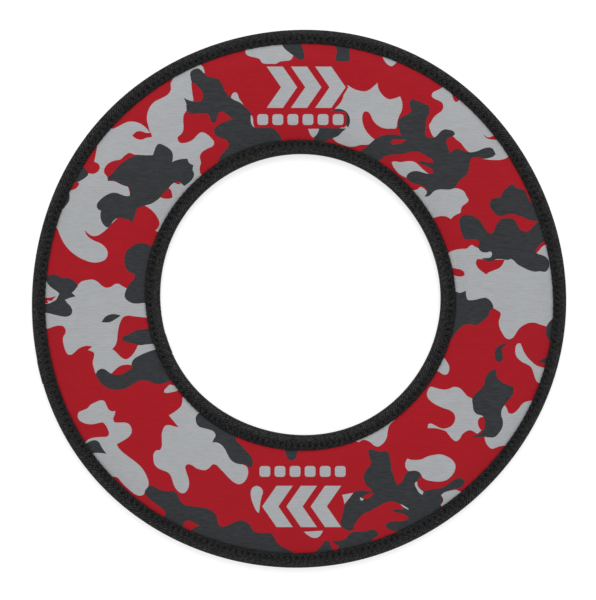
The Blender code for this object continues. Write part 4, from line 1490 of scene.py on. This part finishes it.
def tape_look():
    """Black herringbone tape: painted shade by its edges and fold, shade and dirt in its needle holes."""
    look = Look("herringbone_tape", specular=0.12, sheen=0.05, sheen_roughness=0.4)
    along = look.measure("along")
    across = look.measure("across")
    slant = look.math("ABSOLUTE", look.math("SUBTRACT", across, TWILL_APEX))
    wander = look.swing(WANDER_SHARE * TWILL_PITCH, look.noise(5 * MM, detail=1.0))
    rib_place = look.times(look.plus(along, slant, wander), 1 / TWILL_PITCH)
    rib_number = look.math("FLOOR", rib_place)
    float_place = look.plus(look.times(across, 1 / FLOAT_LENGTH), look.times(rib_number, FLOAT_OFFSET))
    rib = look.hump(rib_place)
    floats = look.hump(float_place)
    yarns = look.wave(rib_place, 1 / YARNS_IN_RIB)
    fuzz = look.noise(0.3 * MM, detail=4.0)
    specks = look.noise(1.2 * MM, detail=1.0)
    blotches = look.noise(7 * MM, detail=3.0)
    # painted shade by the free edges and round the fold, with painted sheen between them
    shade = look.shades(across, TAPE_HALF_WIDTH, TAPE_PAINTED_SHADES)
    # painted light and shade of the weave's ribs, floats and yarns, and fuzz of uneven tone
    weave = look.varied(0.97, (1.7, rib), (0.7, floats), (0.6, yarns), (0.5, fuzz))
    uneven = look.varied(1.0, (3.6, specks), (0.6, blotches))
    # painted shade, with some dirt, where the stitches pull the tape into their needle holes
    pulled = look.math("MULTIPLY_ADD", look.measure("pull"), -NEEDLE_HOLE_SHADE, 1.0)
    brightness = look.math("MAXIMUM", look.times(weave, uneven, shade, pulled), DARKEST_SHADE)
    roughness = look.varied(0.78, (-0.2, rib), (0.2, fuzz))
    height = look.plus(
        look.times(rib, 0.5), look.times(floats, 0.2), look.times(yarns, 0.12), look.times(fuzz, 0.35)
    )
    return look.finish(TAPE_BLACK, brightness, roughness, height, depth=0.14 * MM)


def thread_look():
    """Black polyester thread with a slight gloss and stray fibres."""
    look = Look("black_thread", specular=0.25, sheen=0.1, sheen_roughness=0.3)
    fibres = look.noise(0.12 * MM, detail=3.0)
    dust = look.noise(3 * MM)
    brightness = look.varied(1.0, (0.6, fibres), (0.4, dust))
    roughness = look.varied(0.55, (0.2, fibres))
    return look.finish(THREAD_BLACK, brightness, roughness, fibres, depth=0.03 * MM)


FINE_PORES = 2.7  # how many times smaller a foam's fine pores are than its large ones


def foam_look(name, colour, cell_size, depth):
    """Closed-cell foam: fine pores of two sizes and a faint mottle."""
    look = Look(name, specular=0.2, sheen=0.0, sheen_roughness=0.5)
    scales = (1 / cell_size, FINE_PORES / cell_size)
    large, fine = (look.node("ShaderNodeTexVoronoi", Vector=look.place, Scale=scale) for scale in scales)
    mottle = look.noise(8 * MM, detail=3.0)
    cells = look.plus(look.times(large.outputs[0], 0.7), look.times(fine.outputs[0], 0.3))
    brightness = look.varied(0.97, (0.2, cells), (0.12, mottle))
    roughness = look.varied(0.85, (0.15, cells))
    return look.finish(colour, brightness, roughness, cells, depth)


# ------------------------------------------------------------------ the stage

FLOOR_SIZE = 12.0
FLOOR_GAP = 0.1 * MM  # below the ring
FLOOR_COLOUR = (0.60, 0.60, 0.60, 1)
FLOOR_GLOW = 0.55
WHITE = (1, 1, 1, 1)
SURROUNDINGS = 0.85
LAMP_SIZE = 1.6
LAMP_WATTS = 20.0
LAMP_AT = (0.1, 1.35, 1.9)

FRAME_HEIGHT = 0.3357  # of the picture, at the ring
SENSOR = 36.0  # the long side of the camera's sensor, in millimetres
LENS = 120.0  # its focal length, in millimetres
CAMERA_AT = (-0.05 * MM, -0.5 * MM)


def floor():
    """A plain white floor, lit from within a little so that it stays white beside the ring."""
    mesh = bpy.data.meshes.new("floor")
    half = FLOOR_SIZE / 2
    height = cad_box[0].z - FLOOR_GAP
    corners = [(-half, -half, height), (half, -half, height), (half, half, height), (-half, half, height)]
    mesh.from_pydata(corners, [], [(0, 1, 2, 3)])
    material = bpy.data.materials.new("white_floor")
    material.use_nodes = True
    shader = material.node_tree.nodes["Principled BSDF"]
    shader.inputs["Base Color"].default_value = FLOOR_COLOUR
    shader.inputs["Roughness"].default_value = 0.9
    shader.inputs["Specular IOR Level"].default_value = 0.0
    shader.inputs["Emission Color"].default_value = WHITE
    shader.inputs["Emission Strength"].default_value = FLOOR_GLOW
    mesh.materials.append(material)
    plane = bpy.data.objects.new("floor", mesh)
    bpy.context.scene.collection.objects.link(plane)


def light():
    """Even white surroundings and one large soft lamp."""
    world = bpy.data.worlds.new("surroundings")
    world.use_nodes = True
    background = world.node_tree.nodes["Background"]
    background.inputs["Color"].default_value = WHITE
    background.inputs["Strength"].default_value = SURROUNDINGS
    bpy.context.scene.world = world
    lamp = bpy.data.lights.new("soft_lamp", "AREA")
    lamp.shape = "DISK"
    lamp.size = LAMP_SIZE
    lamp.energy = LAMP_WATTS
    holder = bpy.data.objects.new("soft_lamp", lamp)
    holder.location = LAMP_AT
    holder.rotation_euler = (-holder.location).to_track_quat("-Z", "Y").to_euler()
    bpy.context.scene.collection.objects.link(holder)


def camera():
    """Straight above the ring."""
    lens = bpy.data.cameras.new("camera")
    lens.sensor_width = SENSOR
    lens.lens = LENS
    viewer = bpy.data.objects.new("camera", lens)
    above = FRAME_HEIGHT * LENS / SENSOR
    viewer.location = (*CAMERA_AT, MID_PLANE + above)
    bpy.context.scene.collection.objects.link(viewer)
    bpy.context.scene.camera = viewer


# ------------------------------------------------------------------ the ring


def main():
    """Makes the ring's pieces and the stage that they lie on."""
    bpy.context.scene.view_settings.view_transform = "Standard"
    jersey = jersey_look()
    tape = tape_look()
    thread = thread_look()
    neoprene = foam_look("neoprene_foam", NEOPRENE_BLACK, cell_size=0.5 * MM, depth=0.04 * MM)
    white = foam_look("white_core_foam", CORE_WHITE, cell_size=1.1 * MM, depth=0.06 * MM)
    knit = plain_knit_look("lining_jersey", LINING_GREY, rib_pitch=0.8 * MM, loop_length=0.6 * MM)

    foam("foam_core", "core_foam_ring", white)
    lining("lining_top", "top_lining_jersey", knit)
    lining("lining_underside", "bottom_lining_jersey", knit)
    foam("foam_top", "top_neoprene_foam", neoprene)
    foam("foam_underside", "bottom_neoprene_foam", neoprene)

    plan = print_plan()
    printed_cover("cover_top", "top_print_jersey", plan, 1, jersey)
    printed_cover("cover_underside", "bottom_print_jersey", plan, -1, jersey)

    for edge in (RIM, HOLE):
        folded_tape(edge, tape)
    for kind, side in (("needle", 1), ("bobbin", -1)):
        for edge in (RIM, HOLE):
            lockstitch(edge, kind, side, thread)

    floor()
    light()
    camera()


main()
